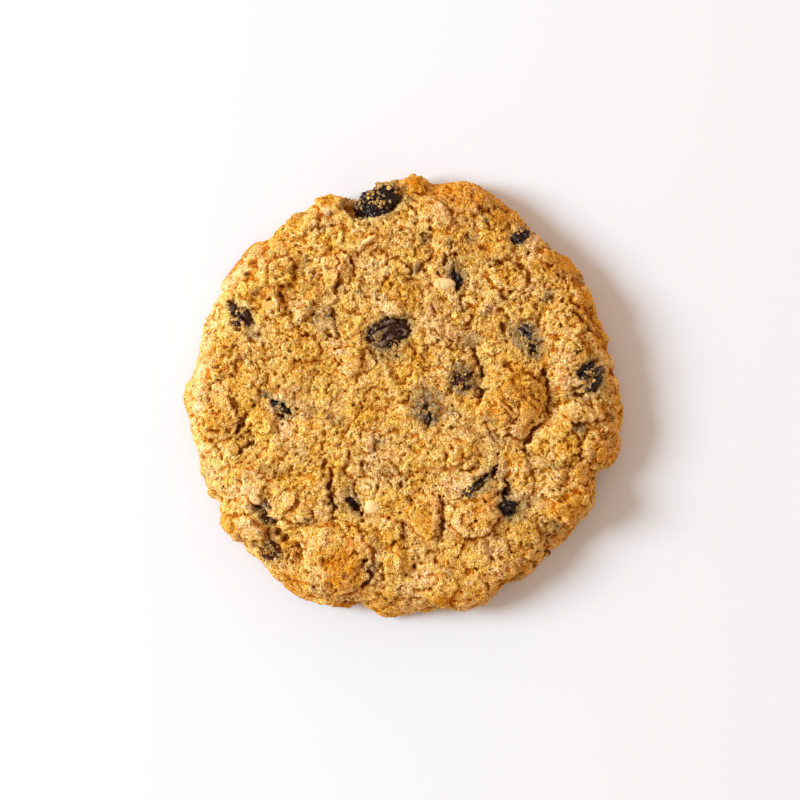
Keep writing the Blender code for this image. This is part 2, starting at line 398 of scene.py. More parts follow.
def makeDoughMaterial():
    material, tree, shader = newMaterial("bakedDough", 0.85, 0.08)
    place = addNode(tree, "ShaderNodeTexCoord").outputs["Object"]
    torn = pushed(tree, place, wobble(tree, place, 0.6, 2.0, 5.0), 0.35 * mm)
    crest = readAttribute(tree, "crest")

    # every grain of the crumb has a tone of its own, and patches lean one way or the other
    grainGap, grainTone = cells(tree, torn, bakedLook["grainSize"], 1.0)
    lean = remap(tree, speckle(tree, place, 8.0, 5.0, 0.7)[0], 0.35, 0.65, -0.30, 0.34, smooth=False)
    mottle = speckle(tree, place, 0.7, 3.0, 0.7, 1.0)[0]
    tone = timesAdd(tree, part(tree, grainTone), 0.36,
                remap(tree, mottle, 0.3, 0.7, 0.0, 0.6, smooth=False))
    tone = add(tree, tone, lean)
    for name, share in (("pale", 0.3), ("plateTone", 0.3), ("tone", 0.25)):
        tone = timesAdd(tree, readAttribute(tree, name), share, tone)
    # raised bits, where crest is high, are painted paler: painted light
    tone = add(tree, tone, remap(tree, crest, 0.0, 0.35, 0.0, 0.18))
    stops = {"brown": 0.0, "amber": 0.2, "golden": 0.42, "straw": 0.7, "pale": 1.0}
    colour = colourRamp(tree, tone, [(spot, bakedLook[name]) for name, spot in stops.items()])

    # the high parts are toasted and the low parts stay drab, then a lean to yellow or to pink
    level = readAttribute(tree, "level")
    blotches = blotchMask(tree, place, 2.0, 0.42, 0.72, 3.0)
    toast = timesAdd(tree, blotches, 0.7, less(tree, readAttribute(tree, "toast"), 0.2))
    toast = add(tree, toast, remap(tree, level, 0.0, 1.0, -0.15, 0.35, smooth=False))
    colour = blendColour(tree, remap(tree, level, 0.2, -0.6, 0.0, 0.6), colour, bakedLook["khaki"])
    colour = blendColour(tree, times(tree, toast, 0.8, clamp=True), colour, bakedLook["toasted"])
    burnt = remap(tree, readAttribute(tree, "toast"), 0.9, 1.6)
    colour = blendColour(tree, burnt, colour, bakedLook["crust"])
    hue = timesAdd(tree, part(tree, cells(tree, torn, 0.9, 12.0)[1]), 0.5,
               remap(tree, speckle(tree, place, 2.6, 4.0, 0.6, 14.0)[0], 0.36, 0.64, -0.1, 0.6, smooth=False))
    shift = blendColour(tree, hue, bakedLook["yellower"], bakedLook["pinker"])
    colour = blendColour(tree, 1.0, colour, shift, "MULTIPLY")

    # fruit stains, where the map says and in a few spots of their own
    stain = times(tree, readAttribute(tree, "stain"), remap(tree, mottle, 0.35, 0.6, 0.5, 1.1))
    spotGap, spotTone = cells(tree, torn, bakedLook["spotSize"], 9.0)
    spotWidth = remap(tree, part(tree, spotTone), 0.6, 1.0, 0.0, 0.17, smooth=False)
    spots = remap(tree, less(tree, spotWidth, spotGap), -0.04, 0.06, 0.0, 0.75)
    stain = calc(tree, "MAXIMUM", stain, times(tree, spots, remap(tree, mottle, 0.35, 0.6)))
    colour = blendColour(tree, times(tree, stain, 0.85, clamp=True), colour, bakedLook["stain"])
    # hollows, where crest is below what lies around, are painted deeper and darker brown: painted shade
    colour = blendColour(tree, remap(tree, crest, 0.06, -0.3), colour, bakedLook["hollowShade"], "MULTIPLY")
    colour = blendColour(tree, remap(tree, crest, -0.1, -0.6, 0.0, 0.5), colour, bakedLook["dark"])

    # pits, cracks and the grooves at the feet of blocks are painted dark inside: painted shade
    inputs = {"Place": torn, "Contrast": bakedLook["grainContrast"]}
    inputs |= {"Pit Spacing": bakedLook["pitSpacing"], "Pit Width": bakedLook["pitWidth"]}
    grain = useGroup(tree, crumbGrain, inputs)
    depth = calc(tree, "MAXIMUM", readAttribute(tree, "pit"), grain["Pits"])
    for name, share in (("crack", 0.5), ("foot", 0.4)):
        depth = calc(tree, "MAXIMUM", times(tree, readAttribute(tree, name), share), depth)
    colour = blendColour(tree, times(tree, depth, 0.92), colour, bakedLook["dark"])
    colour = blendColour(tree, 1.0, colour, grain["Shade"], "MULTIPLY")
    tree.links.new(colour, shader.inputs["Base Color"])
    bumpy = less(tree, times(tree, speckle(tree, place, 0.5, 3.0, 0.7)[0], 1.6), grain["Pits"])
    bumpy = timesAdd(tree, grainGap, -0.9, bumpy)
    addBump(tree, shader, bumpy, 1.0, bakedLook["grainBump"])
    return material


doughMaterial = makeDoughMaterial()
print("dough material made")

kernelLook = {
    "cream": tint(240, 204, 142),
    "rind": tint(212, 156, 78),
    "spotSize": 1.6,
    "bump": 0.05 * mm,
}


def makeKernelMaterial():
    material, tree, shader = newMaterial("oatKernel", 0.6, 0.2)
    place = addNode(tree, "ShaderNodeTexCoord").outputs["Object"]
    spots = blotchMask(tree, place, kernelLook["spotSize"], 0.46, 0.66, 5.0)
    colour = blendColour(tree, spots, kernelLook["cream"], kernelLook["rind"])
    darker = remap(tree, readAttribute(tree, "tone"), 0.1, 0.5, 0.0, 0.7)
    colour = blendColour(tree, darker, colour, kernelLook["rind"])
    inputs = {"Place": place, "Contrast": 0.3, "Pit Spacing": 1.4, "Pit Width": 0.16}
    grain = useGroup(tree, crumbGrain, inputs)
    # the pits are painted brown: painted shade
    colour = blendColour(tree, times(tree, grain["Pits"], 0.6), colour, bakedLook["brown"])
    tree.links.new(blendColour(tree, 1.0, colour, grain["Shade"], "MULTIPLY"), shader.inputs["Base Color"])
    addBump(tree, shader, speckle(tree, place, 0.5, 2.0)[0], 0.5, kernelLook["bump"])
    return material


# dough: the blank, a smooth closed skin laid over the solids

blank = {
    "crownRings": 130,      # the crown is a fan of rings with six points for each ring
    "rimRows": 42,
    "shoulder": 6.0 * mm,
    "coreHeight": 4.0 * mm,
    "lowestTurn": -50.0,    # degrees below level at which the rim meets the base
    "baseRings": 12,
}


def castIn(tree, target, outward):
    # first point met on the way in to `target` from outside
    reach = 40 * mm
    hit = tree.ray_cast(target + outward * reach, -outward, reach)[0]
    return hit if hit is not None else target


def smoothRound(values, reach):
    # running mean round a closed ring
    kernel = np.ones(2 * reach + 1) / (2 * reach + 1)
    return np.convolve(np.concatenate([values[-reach:], values, values[:reach]]), kernel, "valid")


def bandFaces(upper, lower, count):
    faces = []
    for i in range(count):
        onward = (i + 1) % count
        faces.append((upper + i, lower + i, lower + onward))
        faces.append((upper + i, lower + onward, upper + onward))
    return faces


def halvingFaces(outer, inner, count):
    # from a ring of `count` points in to a ring of half as many
    faces = []
    for i in range(count // 2):
        here, onward = inner + i, inner + (i + 1) % (count // 2)
        edge = [outer + (2 * i + step) % count for step in range(3)]
        faces += [(here, edge[1], edge[0]), (here, onward, edge[1]), (onward, edge[2], edge[1])]
    return [tuple(reversed(face)) for face in faces]


def fanFaces(outer, inner, ring):
    faces = []
    outerCount, innerCount = 6 * ring, 6 * (ring - 1)
    for sector in range(6):
        for i in range(ring):
            here = outer + (sector * ring + i) % outerCount
            onward = outer + (sector * ring + i + 1) % outerCount
            within = inner + ((sector * (ring - 1) + i) % innerCount if innerCount else 0)
            faces.append((within, here, onward))
            if i < ring - 1:
                faces.append((within, onward, inner + (sector * (ring - 1) + i + 1) % innerCount))
    return faces


def makeBlank():
    tree = surfaceTree(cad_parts.values())
    around = 6 * blank["crownRings"]
    headings = [Vector((math.cos(2 * math.pi * i / around), math.sin(2 * math.pi * i / around), 0.0))
                for i in range(around)]
    level = Vector((0, 0, studio["widestHeight"]))
    rim = [castIn(tree, level + heading * 30 * mm, heading) for heading in headings]
    outline = np.array([point.to_2d().length for point in rim])
    core = smoothRound(outline, 8) - blank["shoulder"]

    points, faces = [castIn(tree, Vector((0, 0, 0)), Vector((0, 0, 1)))], []
    starts = [0]
    for ring in range(1, blank["crownRings"] + 1):
        starts.append(len(points))
        for i in range(6 * ring):
            turn = i / (6 * ring)
            angle = 2 * math.pi * turn
            edge = np.interp(turn * around, range(around + 1), [*core, core[0]])
            reach = edge * ring / blank["crownRings"]
            place = Vector((math.cos(angle) * reach, math.sin(angle) * reach, 2 * mm))
            points.append(castIn(tree, place, Vector((0, 0, 1))))
        faces += fanFaces(starts[-1], starts[-2], ring)
    for row in range(1, blank["rimRows"] + 1):
        turn = math.radians(90 + (blank["lowestTurn"] - 90) * row / blank["rimRows"])
        starts.append(len(points))
        for heading, reach in zip(headings, core):
            outward = heading * math.cos(turn) + Vector((0, 0, math.sin(turn)))
            target = heading * reach + Vector((0, 0, blank["coreHeight"]))
            points.append(castIn(tree, target, outward))
        faces += bandFaces(starts[-2], starts[-1], around)

    edge = [Vector((point.x, point.y, 0.0)) for point in points[starts[-1]:]]
    count = around
    for ring in range(1, blank["baseRings"]):
        share = 1 - ring / blank["baseRings"]
        halve = ring <= 2
        starts.append(len(points))
        edge = edge[::2] if halve else edge
        points += [point * share for point in edge]
        if halve:
            faces += halvingFaces(starts[-2], starts[-1], count)
            count //= 2
        else:
            faces += bandFaces(starts[-2], starts[-1], count)
    points.append(Vector((0, 0, 0)))
    faces += [(starts[-1] + i, len(points) - 1, starts[-1] + (i + 1) % count) for i in range(count)]

    mesh = bpy.data.meshes.new("blank")
    mesh.from_pydata([tuple(point) for point in points], [], faces)
    mesh.shade_smooth()
    return mesh


# dough: what is where on it

marking = {
    "noiseSeed": 1,
    "wander": (1.0, 0.6),        # how far the edges of blocks and patches stray, wide and fine, in mm
    "closeWander": (0.35, 0.45),    # and those of cracks and openings
    "crownFrom": 2.0,            # marks fade in above this height
    "crownFade": 2.4,
    "blockEdge": 0.35,
    "footWidth": 0.30,
    "shadowSide": (0.75, -0.66),   # the side away from the key light, where the feet of blocks get grooves painted dark as painted shadow
    "farGap": 3.0,
    "gapReach": 1.4,
    "skirtFade": 5.0,            # degrees
    "skirtTop": 3.6,
    "skirtToast": 1.4,
    "rimFrom": 41.0,
    "rimFade": 5.0,
    "rimToast": 0.35,
    "underToast": 1.6,
    "underHeight": 3.2,
}

# Where the brown base shows past the rim: from and to, in degrees round from +X, and by how much.
skirts = [
    (130, 152, 1.0), (234, 249, 0.9), (260, 273, 0.9), (196, 208, 0.6), (300, 312, 0.6),
]

# Raised blocks: x, y, half length, half width, heading in degrees, rise.
blocks = [
    (-25.8, 26.2, 3.3, 2.6, 70, 1.0), (-15.6, 26.0, 1.5, 4.2, 0, 0.8), (-12.6, 27.0, 1.0, 2.8, 0, 0.9),
    (-12.0, 8.0, 2.3, 2.8, 0, 0.9), (-21.8, 10.6, 3.6, 2.8, -8, 0.8), (-21.4, 17.9, 2.2, 1.3, 60, 0.5),
    (-38.5, 7.6, 3.3, 3.2, 0, 0.8), (-8.8, 32.3, 2.8, 0.8, 28, 0.5), (-2.0, 21.5, 5.0, 4.0, 0, 0.4),
    (-27.5, 18.6, 2.4, 1.9, 0, 0.6), (-34.6, 26.0, 3.6, 1.2, 55, 0.6), (-32.0, 30.4, 2.8, 1.2, 40, 0.5),
    (-22.0, 36.4, 4.6, 2.2, 32, 0.5), (-16.5, 41.0, 2.2, 2.6, 10, 0.9), (-17.0, 33.5, 3.4, 2.4, 20, 0.4),
    (-6.5, 27.0, 2.6, 3.2, 0, 0.4), (-30.8, 24.6, 1.4, 3.4, -25, 0.5), (21.3, 25.3, 3.8, 2.7, -15, 1.0),
    (34.0, 7.6, 4.2, 5.6, 8, 0.9), (33.4, 16.4, 4.2, 3.4, 0, 0.8), (35.6, 23.4, 5.4, 2.0, -55, 0.7),
    (31.8, 29.2, 3.4, 2.2, -38, 0.6), (19.2, 30.8, 3.2, 1.6, 8, 0.7), (6.6, 37.8, 3.0, 2.6, 0, 0.7),
    (12.6, 41.6, 5.6, 2.6, -12, 0.5), (2.0, 44.8, 2.6, 1.6, 0, 0.7), (18.2, 11.6, 2.5, 2.6, 20, 0.6),
    (6.0, 19.5, 4.6, 3.2, 15, 0.4), (11.4, 18.4, 1.8, 2.4, 0, 0.6), (25.6, 18.6, 2.4, 1.7, 0, 0.5),
    (25.2, 6.4, 3.0, 2.6, 0, 0.5), (4.6, 13.6, 3.2, 2.6, 30, 0.5), (27.2, 33.0, 1.9, 1.4, -30, 0.5),
    (8.6, 22.2, 2.8, 1.5, -10, 0.5), (1.6, 30.4, 3.4, 2.2, 0, 0.5), (-32.0, -17.9, 2.2, 3.2, 10, 0.9),
    (-26.2, -22.4, 2.5, 2.0, 50, 0.9), (-33.0, -22.6, 1.7, 1.2, 0, 0.7), (-34.2, -27.0, 4.6, 2.4, -25, 0.8),
    (-37.0, -21.8, 1.4, 2.4, -20, 0.6), (-38.4, -4.6, 3.5, 3.8, 0, 0.7), (-14.0, -33.5, 7.0, 7.4, 20, 0.8),
    (-18.0, -28.4, 3.2, 1.8, 10, 0.5), (-3.2, -27.5, 2.3, 2.5, 0, 0.8), (-24.0, -12.0, 4.6, 3.4, 0, 0.3),
    (-18.6, -19.4, 2.2, 4.2, 0, 0.5), (-28.2, -7.0, 2.3, 1.5, -60, 0.5), (-13.4, -12.2, 1.2, 2.6, -10, 0.5),
    (-8.0, -8.4, 1.6, 1.5, 0, 0.5), (-21.6, -24.0, 1.5, 2.0, 0, 0.7), (-12.8, -18.4, 2.2, 3.8, 22, 0.9),
    (-27.0, 1.6, 2.4, 1.6, -30, 0.4), (-33.0, 0.6, 2.2, 2.6, 0, 0.4), (22.2, -1.2, 6.3, 6.9, 0, 1.1),
    (36.4, -3.0, 4.2, 2.0, -8, 0.8), (33.4, -9.6, 2.6, 3.2, 0, 0.5), (39.4, -10.6, 2.4, 4.2, 0, 0.6),
    (35.0, -22.5, 3.7, 2.5, 30, 1.0), (14.6, -24.8, 4.6, 3.8, 15, 1.0), (17.4, -18.8, 3.0, 1.4, 32, 0.8),
    (4.0, -24.6, 3.2, 4.2, 0, 1.0), (12.4, -12.4, 3.0, 2.2, 0, 0.6), (4.0, -11.4, 3.8, 2.6, 0, 0.3),
    (23.9, -14.8, 1.9, 5.2, 14, 0.6), (29.4, -18.0, 3.0, 2.4, 0, 0.4), (24.6, -27.6, 3.4, 2.8, -30, 0.5),
    (14.4, -32.6, 3.2, 2.2, 0, 0.5), (6.4, -38.2, 3.8, 4.4, 0, 0.5), (28.4, -9.0, 2.2, 2.6, 0, 0.5),
    (20.2, -36.0, 2.6, 2.2, 20, 0.5), (27.4, -31.8, 2.2, 2.6, 40, 0.5), (-1.4, -33.6, 3.6, 2.6, 0, 0.4),
    (-24.8, -31.4, 1.7, 1.5, -30, 0.7), (9.0, -32.0, 2.2, 3.0, 0, 0.4),
]

# Cracks and crevices: width, depth, then the points they run through.
cracks = [
    (0.35, 1.0, (-25.3, 14.2), (-22.5, 14.3), (-20.5, 13.3), (-18.8, 13.4)),
    (0.5, 1.0, (-17.2, 14.2), (-15.9, 13.3), (-14.8, 12.7)),
    (0.3, 0.8, (-13.4, 11.0), (-12.9, 10.2), (-12.3, 10.3)),
    (0.3, 0.7, (-13.9, 7.4), (-13.9, 6.0), (-12.0, 5.4), (-10.6, 6.0)),
    (0.5, 1.0, (-15.2, 3.2), (-16.3, 2.0), (-17.2, 0.3)),
    (0.45, 1.1, (-12.9, 31.0), (-12.5, 30.0), (-11.6, 29.0), (-10.9, 27.3), (-11.0, 25.8)),
    (0.4, 0.9, (-11.6, 24.0), (-12.0, 22.4), (-13.3, 21.3)),
    (0.55, 0.9, (-18.9, 38.6), (-18.2, 37.6), (-18.3, 36.4)), (0.5, 1.0, (-26.6, 22.6), (-25.6, 23.2)),
    (0.7, 0.9, (-26.3, 21.8), (-25.6, 20.2), (-26.2, 18.6)),
    (0.35, 0.9, (-24.7, 24.3), (-24.0, 25.3), (-23.7, 26.4)),
    (0.7, 0.8, (-26.8, 29.6), (-25.8, 30.8), (-24.2, 31.2)), (0.35, 0.8, (-20.4, 26.3), (-18.9, 26.5)),
    (0.3, 0.7, (-31.2, 20.0), (-30.9, 18.2)), (0.3, 0.7, (-30.5, 6.5), (-30.2, 5.0), (-29.8, 3.6)),
    (0.45, 0.6, (-41.4, 4.5), (-41.0, 2.5)), (0.3, 0.6, (-36.2, 8.0), (-36.0, 6.8)),
    (0.3, 0.7, (-28.2, 6.2), (-27.2, 5.2)), (0.6, 0.6, (-10.2, 22.4), (-9.8, 22.0)),
    (0.35, 0.8, (-7.6, 36.5), (-6.2, 35.6), (-5.0, 33.8)), (0.3, 0.5, (-9.2, 34.2), (-7.0, 34.1)),
    (0.5, 0.8, (-4.8, 31.2), (-4.0, 30.3), (-3.2, 29.7)), (0.3, 0.7, (-8.7, 11.8), (-8.0, 11.2)),
    (0.35, 0.8, (-7.9, 10.3), (-7.7, 9.4)), (0.3, 0.8, (-7.0, 8.9), (-6.0, 8.4)),
    (0.35, 0.7, (-2.3, 8.7), (-1.3, 8.4)), (0.9, 0.9, (-15.1, 17.9), (-14.8, 16.8)),
    (0.5, 0.7, (-32.2, 10.2), (-31.6, 9.0)), (0.55, 0.8, (-27.7, 9.9), (-27.2, 9.5)),
    (0.9, 0.9, (1.5, 39.8), (2.8, 38.2), (2.2, 36.8)), (0.3, 0.5, (9.8, 36.6), (11.0, 37.0), (12.4, 37.1)),
    (0.35, 0.9, (15.0, 35.6), (16.5, 35.0), (18.5, 34.7), (20.0, 35.2)),
    (0.8, 1.2, (7.6, 28.3), (8.4, 29.8), (10.2, 30.3)), (0.6, 0.8, (0.5, 26.4), (2.0, 26.3), (3.5, 27.2)),
    (0.6, 0.9, (6.0, 26.8), (7.0, 25.8)), (1.0, 0.7, (16.0, 31.6), (17.2, 30.4)),
    (0.5, 1.0, (18.0, 27.5), (18.7, 28.7), (20.2, 28.6), (21.5, 28.5)),
    (0.35, 1.0, (30.0, 27.3), (31.5, 26.5), (32.6, 25.2), (33.5, 23.8)),
    (0.55, 1.1, (32.7, 20.2), (34.0, 18.9), (35.6, 17.6), (37.2, 15.6), (38.5, 14.2)),
    (0.7, 0.8, (40.0, 14.0), (41.0, 13.0), (41.6, 11.6)),
    (0.35, 1.0, (10.7, 22.4), (10.7, 21.2), (11.0, 20.2)),
    (0.6, 0.9, (9.5, 12.0), (8.9, 11.0), (9.8, 10.2)),
    (0.9, 1.2, (14.2, 10.6), (14.6, 8.6), (15.5, 6.6), (15.9, 5.0), (15.4, 3.0), (15.0, 0.5)),
    (0.3, 0.7, (18.2, 9.8), (18.9, 8.0)), (1.1, 0.9, (21.0, 7.2), (22.0, 6.0)),
    (1.2, 1.3, (28.5, 6.2), (29.0, 4.4), (29.6, 2.8)), (0.6, 1.2, (29.7, 2.6), (29.5, -1.0), (29.9, -3.6)),
    (0.35, 0.6, (26.6, 21.3), (27.0, 19.0)), (0.6, 0.8, (20.0, 16.0), (20.3, 14.5)),
    (0.35, 0.8, (13.0, 13.5), (13.4, 12.6)), (0.35, 0.6, (3.2, 8.0), (5.5, 6.5)),
    (0.3, 0.8, (19.6, 22.6), (21.6, 21.8), (22.8, 23.0)),
    (0.6, 0.6, (29.4, 20.2), (30.4, 21.0), (31.2, 21.8)), (0.6, 0.8, (-40.9, -6.0), (-40.1, -6.6)),
    (0.8, 0.8, (-41.0, -8.7), (-40.0, -9.2), (-39.3, -10.8)),
    (0.8, 1.1, (-33.2, -3.4), (-34.2, -5.0), (-35.4, -7.4)),
    (0.3, 0.7, (-33.0, -3.6), (-31.3, -3.4), (-30.0, -3.9)),
    (0.55, 1.0, (-31.5, -8.3), (-32.2, -9.5), (-34.0, -10.0), (-35.4, -11.2)),
    (0.8, 0.7, (-16.8, -12.3), (-17.4, -14.3)),
    (0.7, 1.5, (-15.6, -14.5), (-15.2, -16.5), (-16.2, -18.0), (-15.8, -20.4), (-14.8, -22.3)),
    (0.35, 0.7, (-12.2, -11.0), (-11.8, -12.0)), (0.4, 0.9, (-8.7, -12.4), (-8.3, -13.4), (-7.3, -14.3)),
    (0.35, 0.8, (-3.2, -5.2), (-2.6, -6.2), (-1.6, -6.4)), (0.35, 1.0, (-1.3, -14.1), (-1.3, -15.5)),
    (0.35, 1.0, (-1.5, -16.5), (-0.9, -18.4)), (0.8, 0.5, (-3.6, -16.1), (-3.1, -16.9)),
    (0.7, 1.2, (-31.0, -22.1), (-29.8, -23.6), (-29.0, -25.2), (-28.2, -26.0)),
    (0.5, 1.2, (-24.3, -25.5), (-23.2, -26.2), (-21.8, -26.0)),
    (0.6, 1.2, (-28.6, -27.0), (-28.5, -29.0), (-27.9, -30.3), (-26.5, -31.3)),
    (1.3, 1.2, (-26.6, -27.6), (-24.8, -29.4)), (0.7, 1.2, (-22.5, -30.6), (-21.9, -32.4)),
    (0.5, 0.8, (-20.5, -24.3), (-18.9, -24.6), (-17.5, -24.0)),
    (0.55, 1.0, (-14.9, -23.2), (-15.0, -24.6), (-12.5, -25.0), (-10.5, -25.4), (-9.0, -25.6)),
    (0.55, 1.2, (-8.2, -33.4), (-8.6, -35.3)), (0.5, 1.1, (-8.2, -34.8), (-6.6, -34.9)),
    (1.1, 1.0, (-7.2, -36.4), (-8.0, -37.8), (-8.8, -39.0)), (0.8, 0.7, (-5.0, -35.0), (-4.6, -37.4)),
    (0.4, 0.9, (-1.0, -26.0), (-0.7, -28.5), (-1.0, -30.0)),
    (0.35, 0.7, (-29.5, -33.8), (-27.0, -34.4), (-25.0, -34.0)),
    (0.4, 0.7, (-21.3, -12.5), (-22.8, -11.9), (-23.0, -10.0)), (0.5, 0.7, (-37.4, -12.4), (-36.9, -14.2)),
    (0.3, 0.7, (7.3, -10.6), (8.5, -12.0), (8.4, -13.4), (7.8, -15.0)),
    (0.35, 0.9, (11.2, -14.9), (13.2, -14.9), (14.6, -14.2), (15.4, -13.2)),
    (0.85, 1.2, (12.4, -20.0), (13.4, -18.8), (15.2, -17.9), (16.8, -16.9), (18.0, -16.9)),
    (0.75, 1.3, (18.0, -16.8), (18.4, -14.5), (19.0, -12.5), (19.2, -11.4)),
    (0.5, 1.3, (20.6, -17.0), (21.2, -19.0), (21.6, -20.5)),
    (0.3, 0.8, (20.0, -8.0), (21.2, -7.9), (22.8, -7.8)),
    (0.75, 1.2, (27.6, -5.2), (26.4, -7.0), (25.6, -8.6), (24.8, -9.5), (24.6, -11.2)),
    (0.5, 0.8, (32.8, -2.4), (33.4, -3.6)), (0.7, 0.8, (34.9, -5.0), (36.0, -5.6), (37.6, -5.4)),
    (0.65, 1.1, (36.0, -10.0), (36.2, -11.5), (36.4, -13.2)), (0.4, 0.6, (34.0, -14.2), (35.0, -14.0)),
    (0.55, 1.0, (38.0, -17.8), (38.6, -16.9), (39.4, -16.6)), (0.3, 0.6, (32.5, -14.5), (32.7, -12.5)),
    (0.5, 0.8, (25.5, -16.2), (26.6, -15.2)), (0.35, 0.9, (31.0, -23.4), (32.0, -25.2)),
    (0.6, 1.1, (29.0, -26.8), (29.4, -28.3), (29.7, -29.8)), (0.35, 1.0, (12.3, -29.6), (14.5, -29.4)),
    (0.35, 1.0, (16.6, -29.4), (17.8, -28.8), (19.3, -28.2)),
    (0.65, 1.1, (7.0, -20.6), (7.4, -22.0), (7.9, -24.4), (7.4, -26.5), (7.6, -28.6)),
    (0.4, 0.9, (0.4, -20.4), (1.6, -20.8), (2.2, -21.8)), (0.45, 0.8, (5.2, -19.8), (6.5, -19.6)),
    (1.0, 0.9, (14.4, -35.1), (14.9, -35.5)), (0.35, 0.7, (3.0, -35.6), (3.2, -36.6)),
    (0.35, 0.7, (3.0, -33.5), (3.4, -34.2)), (0.4, 0.7, (17.4, -32.6), (18.4, -33.6), (18.7, -34.6)),
    (0.5, 0.8, (21.4, -33.6), (22.2, -34.5), (22.9, -35.0)),
    (1.0, 1.5, (22.0, -38.8), (23.6, -37.6), (24.6, -37.0)), (0.45, 1.0, (17.6, -39.9), (17.3, -39.0)),
    (0.45, 0.9, (13.8, -43.2), (15.5, -42.8)), (0.45, 0.6, (17.4, -7.4), (18.0, -8.6)),
    (0.35, 0.8, (25.0, -21.4), (26.6, -22.6)),
    (0.4, 0.9, (-27.5, -0.4), (-25.5, -0.6), (-23.6, -1.4), (-22.4, -2.6)),
    (0.45, 0.8, (-14.2, 23.2), (-13.8, 23.4)), (0.4, 1.0, (11.2, 21.0), (12.0, 18.2)),
    (0.6, 1.1, (20.0, -39.4), (22.0, -38.5), (23.4, -37.8)),
    (0.5, 0.9, (19.2, -16.7), (20.0, -18.6), (20.6, -20.4)), (0.45, 0.9, (35.6, -5.4), (36.8, -5.6)),
]

# Bare raisin: x, y, half length, half width, heading and how far the dough is drawn down there.
openings = [
    (-6.9, 41.5, 6.4, 3.6, 12, 2.6), (25.7, 35.5, 1.4, 1.2, 60, 1.7), (24.4, 34.2, 1.5, 0.9, 40, 1.6),
    (23.2, 33.3, 1.4, 0.9, 45, 1.6), (10.5, 25.2, 2.3, 0.9, 98, 1.5), (-36.3, 19.7, 1.3, 0.9, -50, 1.4),
    (-33.6, 17.2, 2.1, 1.1, -60, 1.5), (-35.1, 15.5, 1.2, 0.8, -30, 1.2), (-3.7, 13.9, 4.7, 3.1, 18, 1.6),
    (24.7, 14.2, 1.5, 1.2, 40, 1.4), (26.2, 10.7, 0.6, 1.3, 0, 1.2), (37.5, 6.5, 2.8, 0.8, 32, 1.6),
    (40.2, 4.2, 2.7, 0.8, 65, 1.7), (36.4, 5.0, 1.0, 0.6, 0, 1.2), (35.9, 0.9, 1.4, 0.45, 24, 1.0),
    (-27.4, -0.9, 1.0, 0.5, -15, 1.2), (-24.9, -2.2, 1.6, 0.6, -50, 1.4), (-26.2, -3.6, 0.9, 0.5, -10, 1.2),
    (4.6, -4.2, 1.8, 0.8, 80, 1.0), (4.2, -1.8, 1.2, 0.8, 60, 0.7), (10.8, 3.8, 1.2, 1.2, 0, 1.0),
    (13.1, 4.6, 1.3, 0.9, 40, 1.0), (12.4, 2.3, 1.0, 0.6, 0, 0.9), (-11.0, -21.9, 2.2, 1.0, -50, 2.2),
    (15.4, -17.1, 3.4, 0.55, 34, 1.5), (18.5, -14.4, 0.5, 1.9, 0, 1.5), (21.1, -22.7, 1.8, 1.4, -20, 1.7),
    (20.3, -20.0, 0.5, 1.8, 15, 1.3), (23.2, -21.9, 1.0, 0.4, 20, 1.2), (-30.3, -31.6, 0.7, 0.6, 0, 0.9),
    (-29.0, -30.4, 0.7, 0.4, 0, 0.8), (-27.0, -31.6, 0.9, 0.6, -20, 1.0),
    (-30.8, -22.2, 1.2, 0.5, -45, 1.0), (-29.1, -24.7, 1.3, 0.5, -50, 1.2),
    (-8.8, -34.4, 0.9, 0.45, 65, 1.0),
]

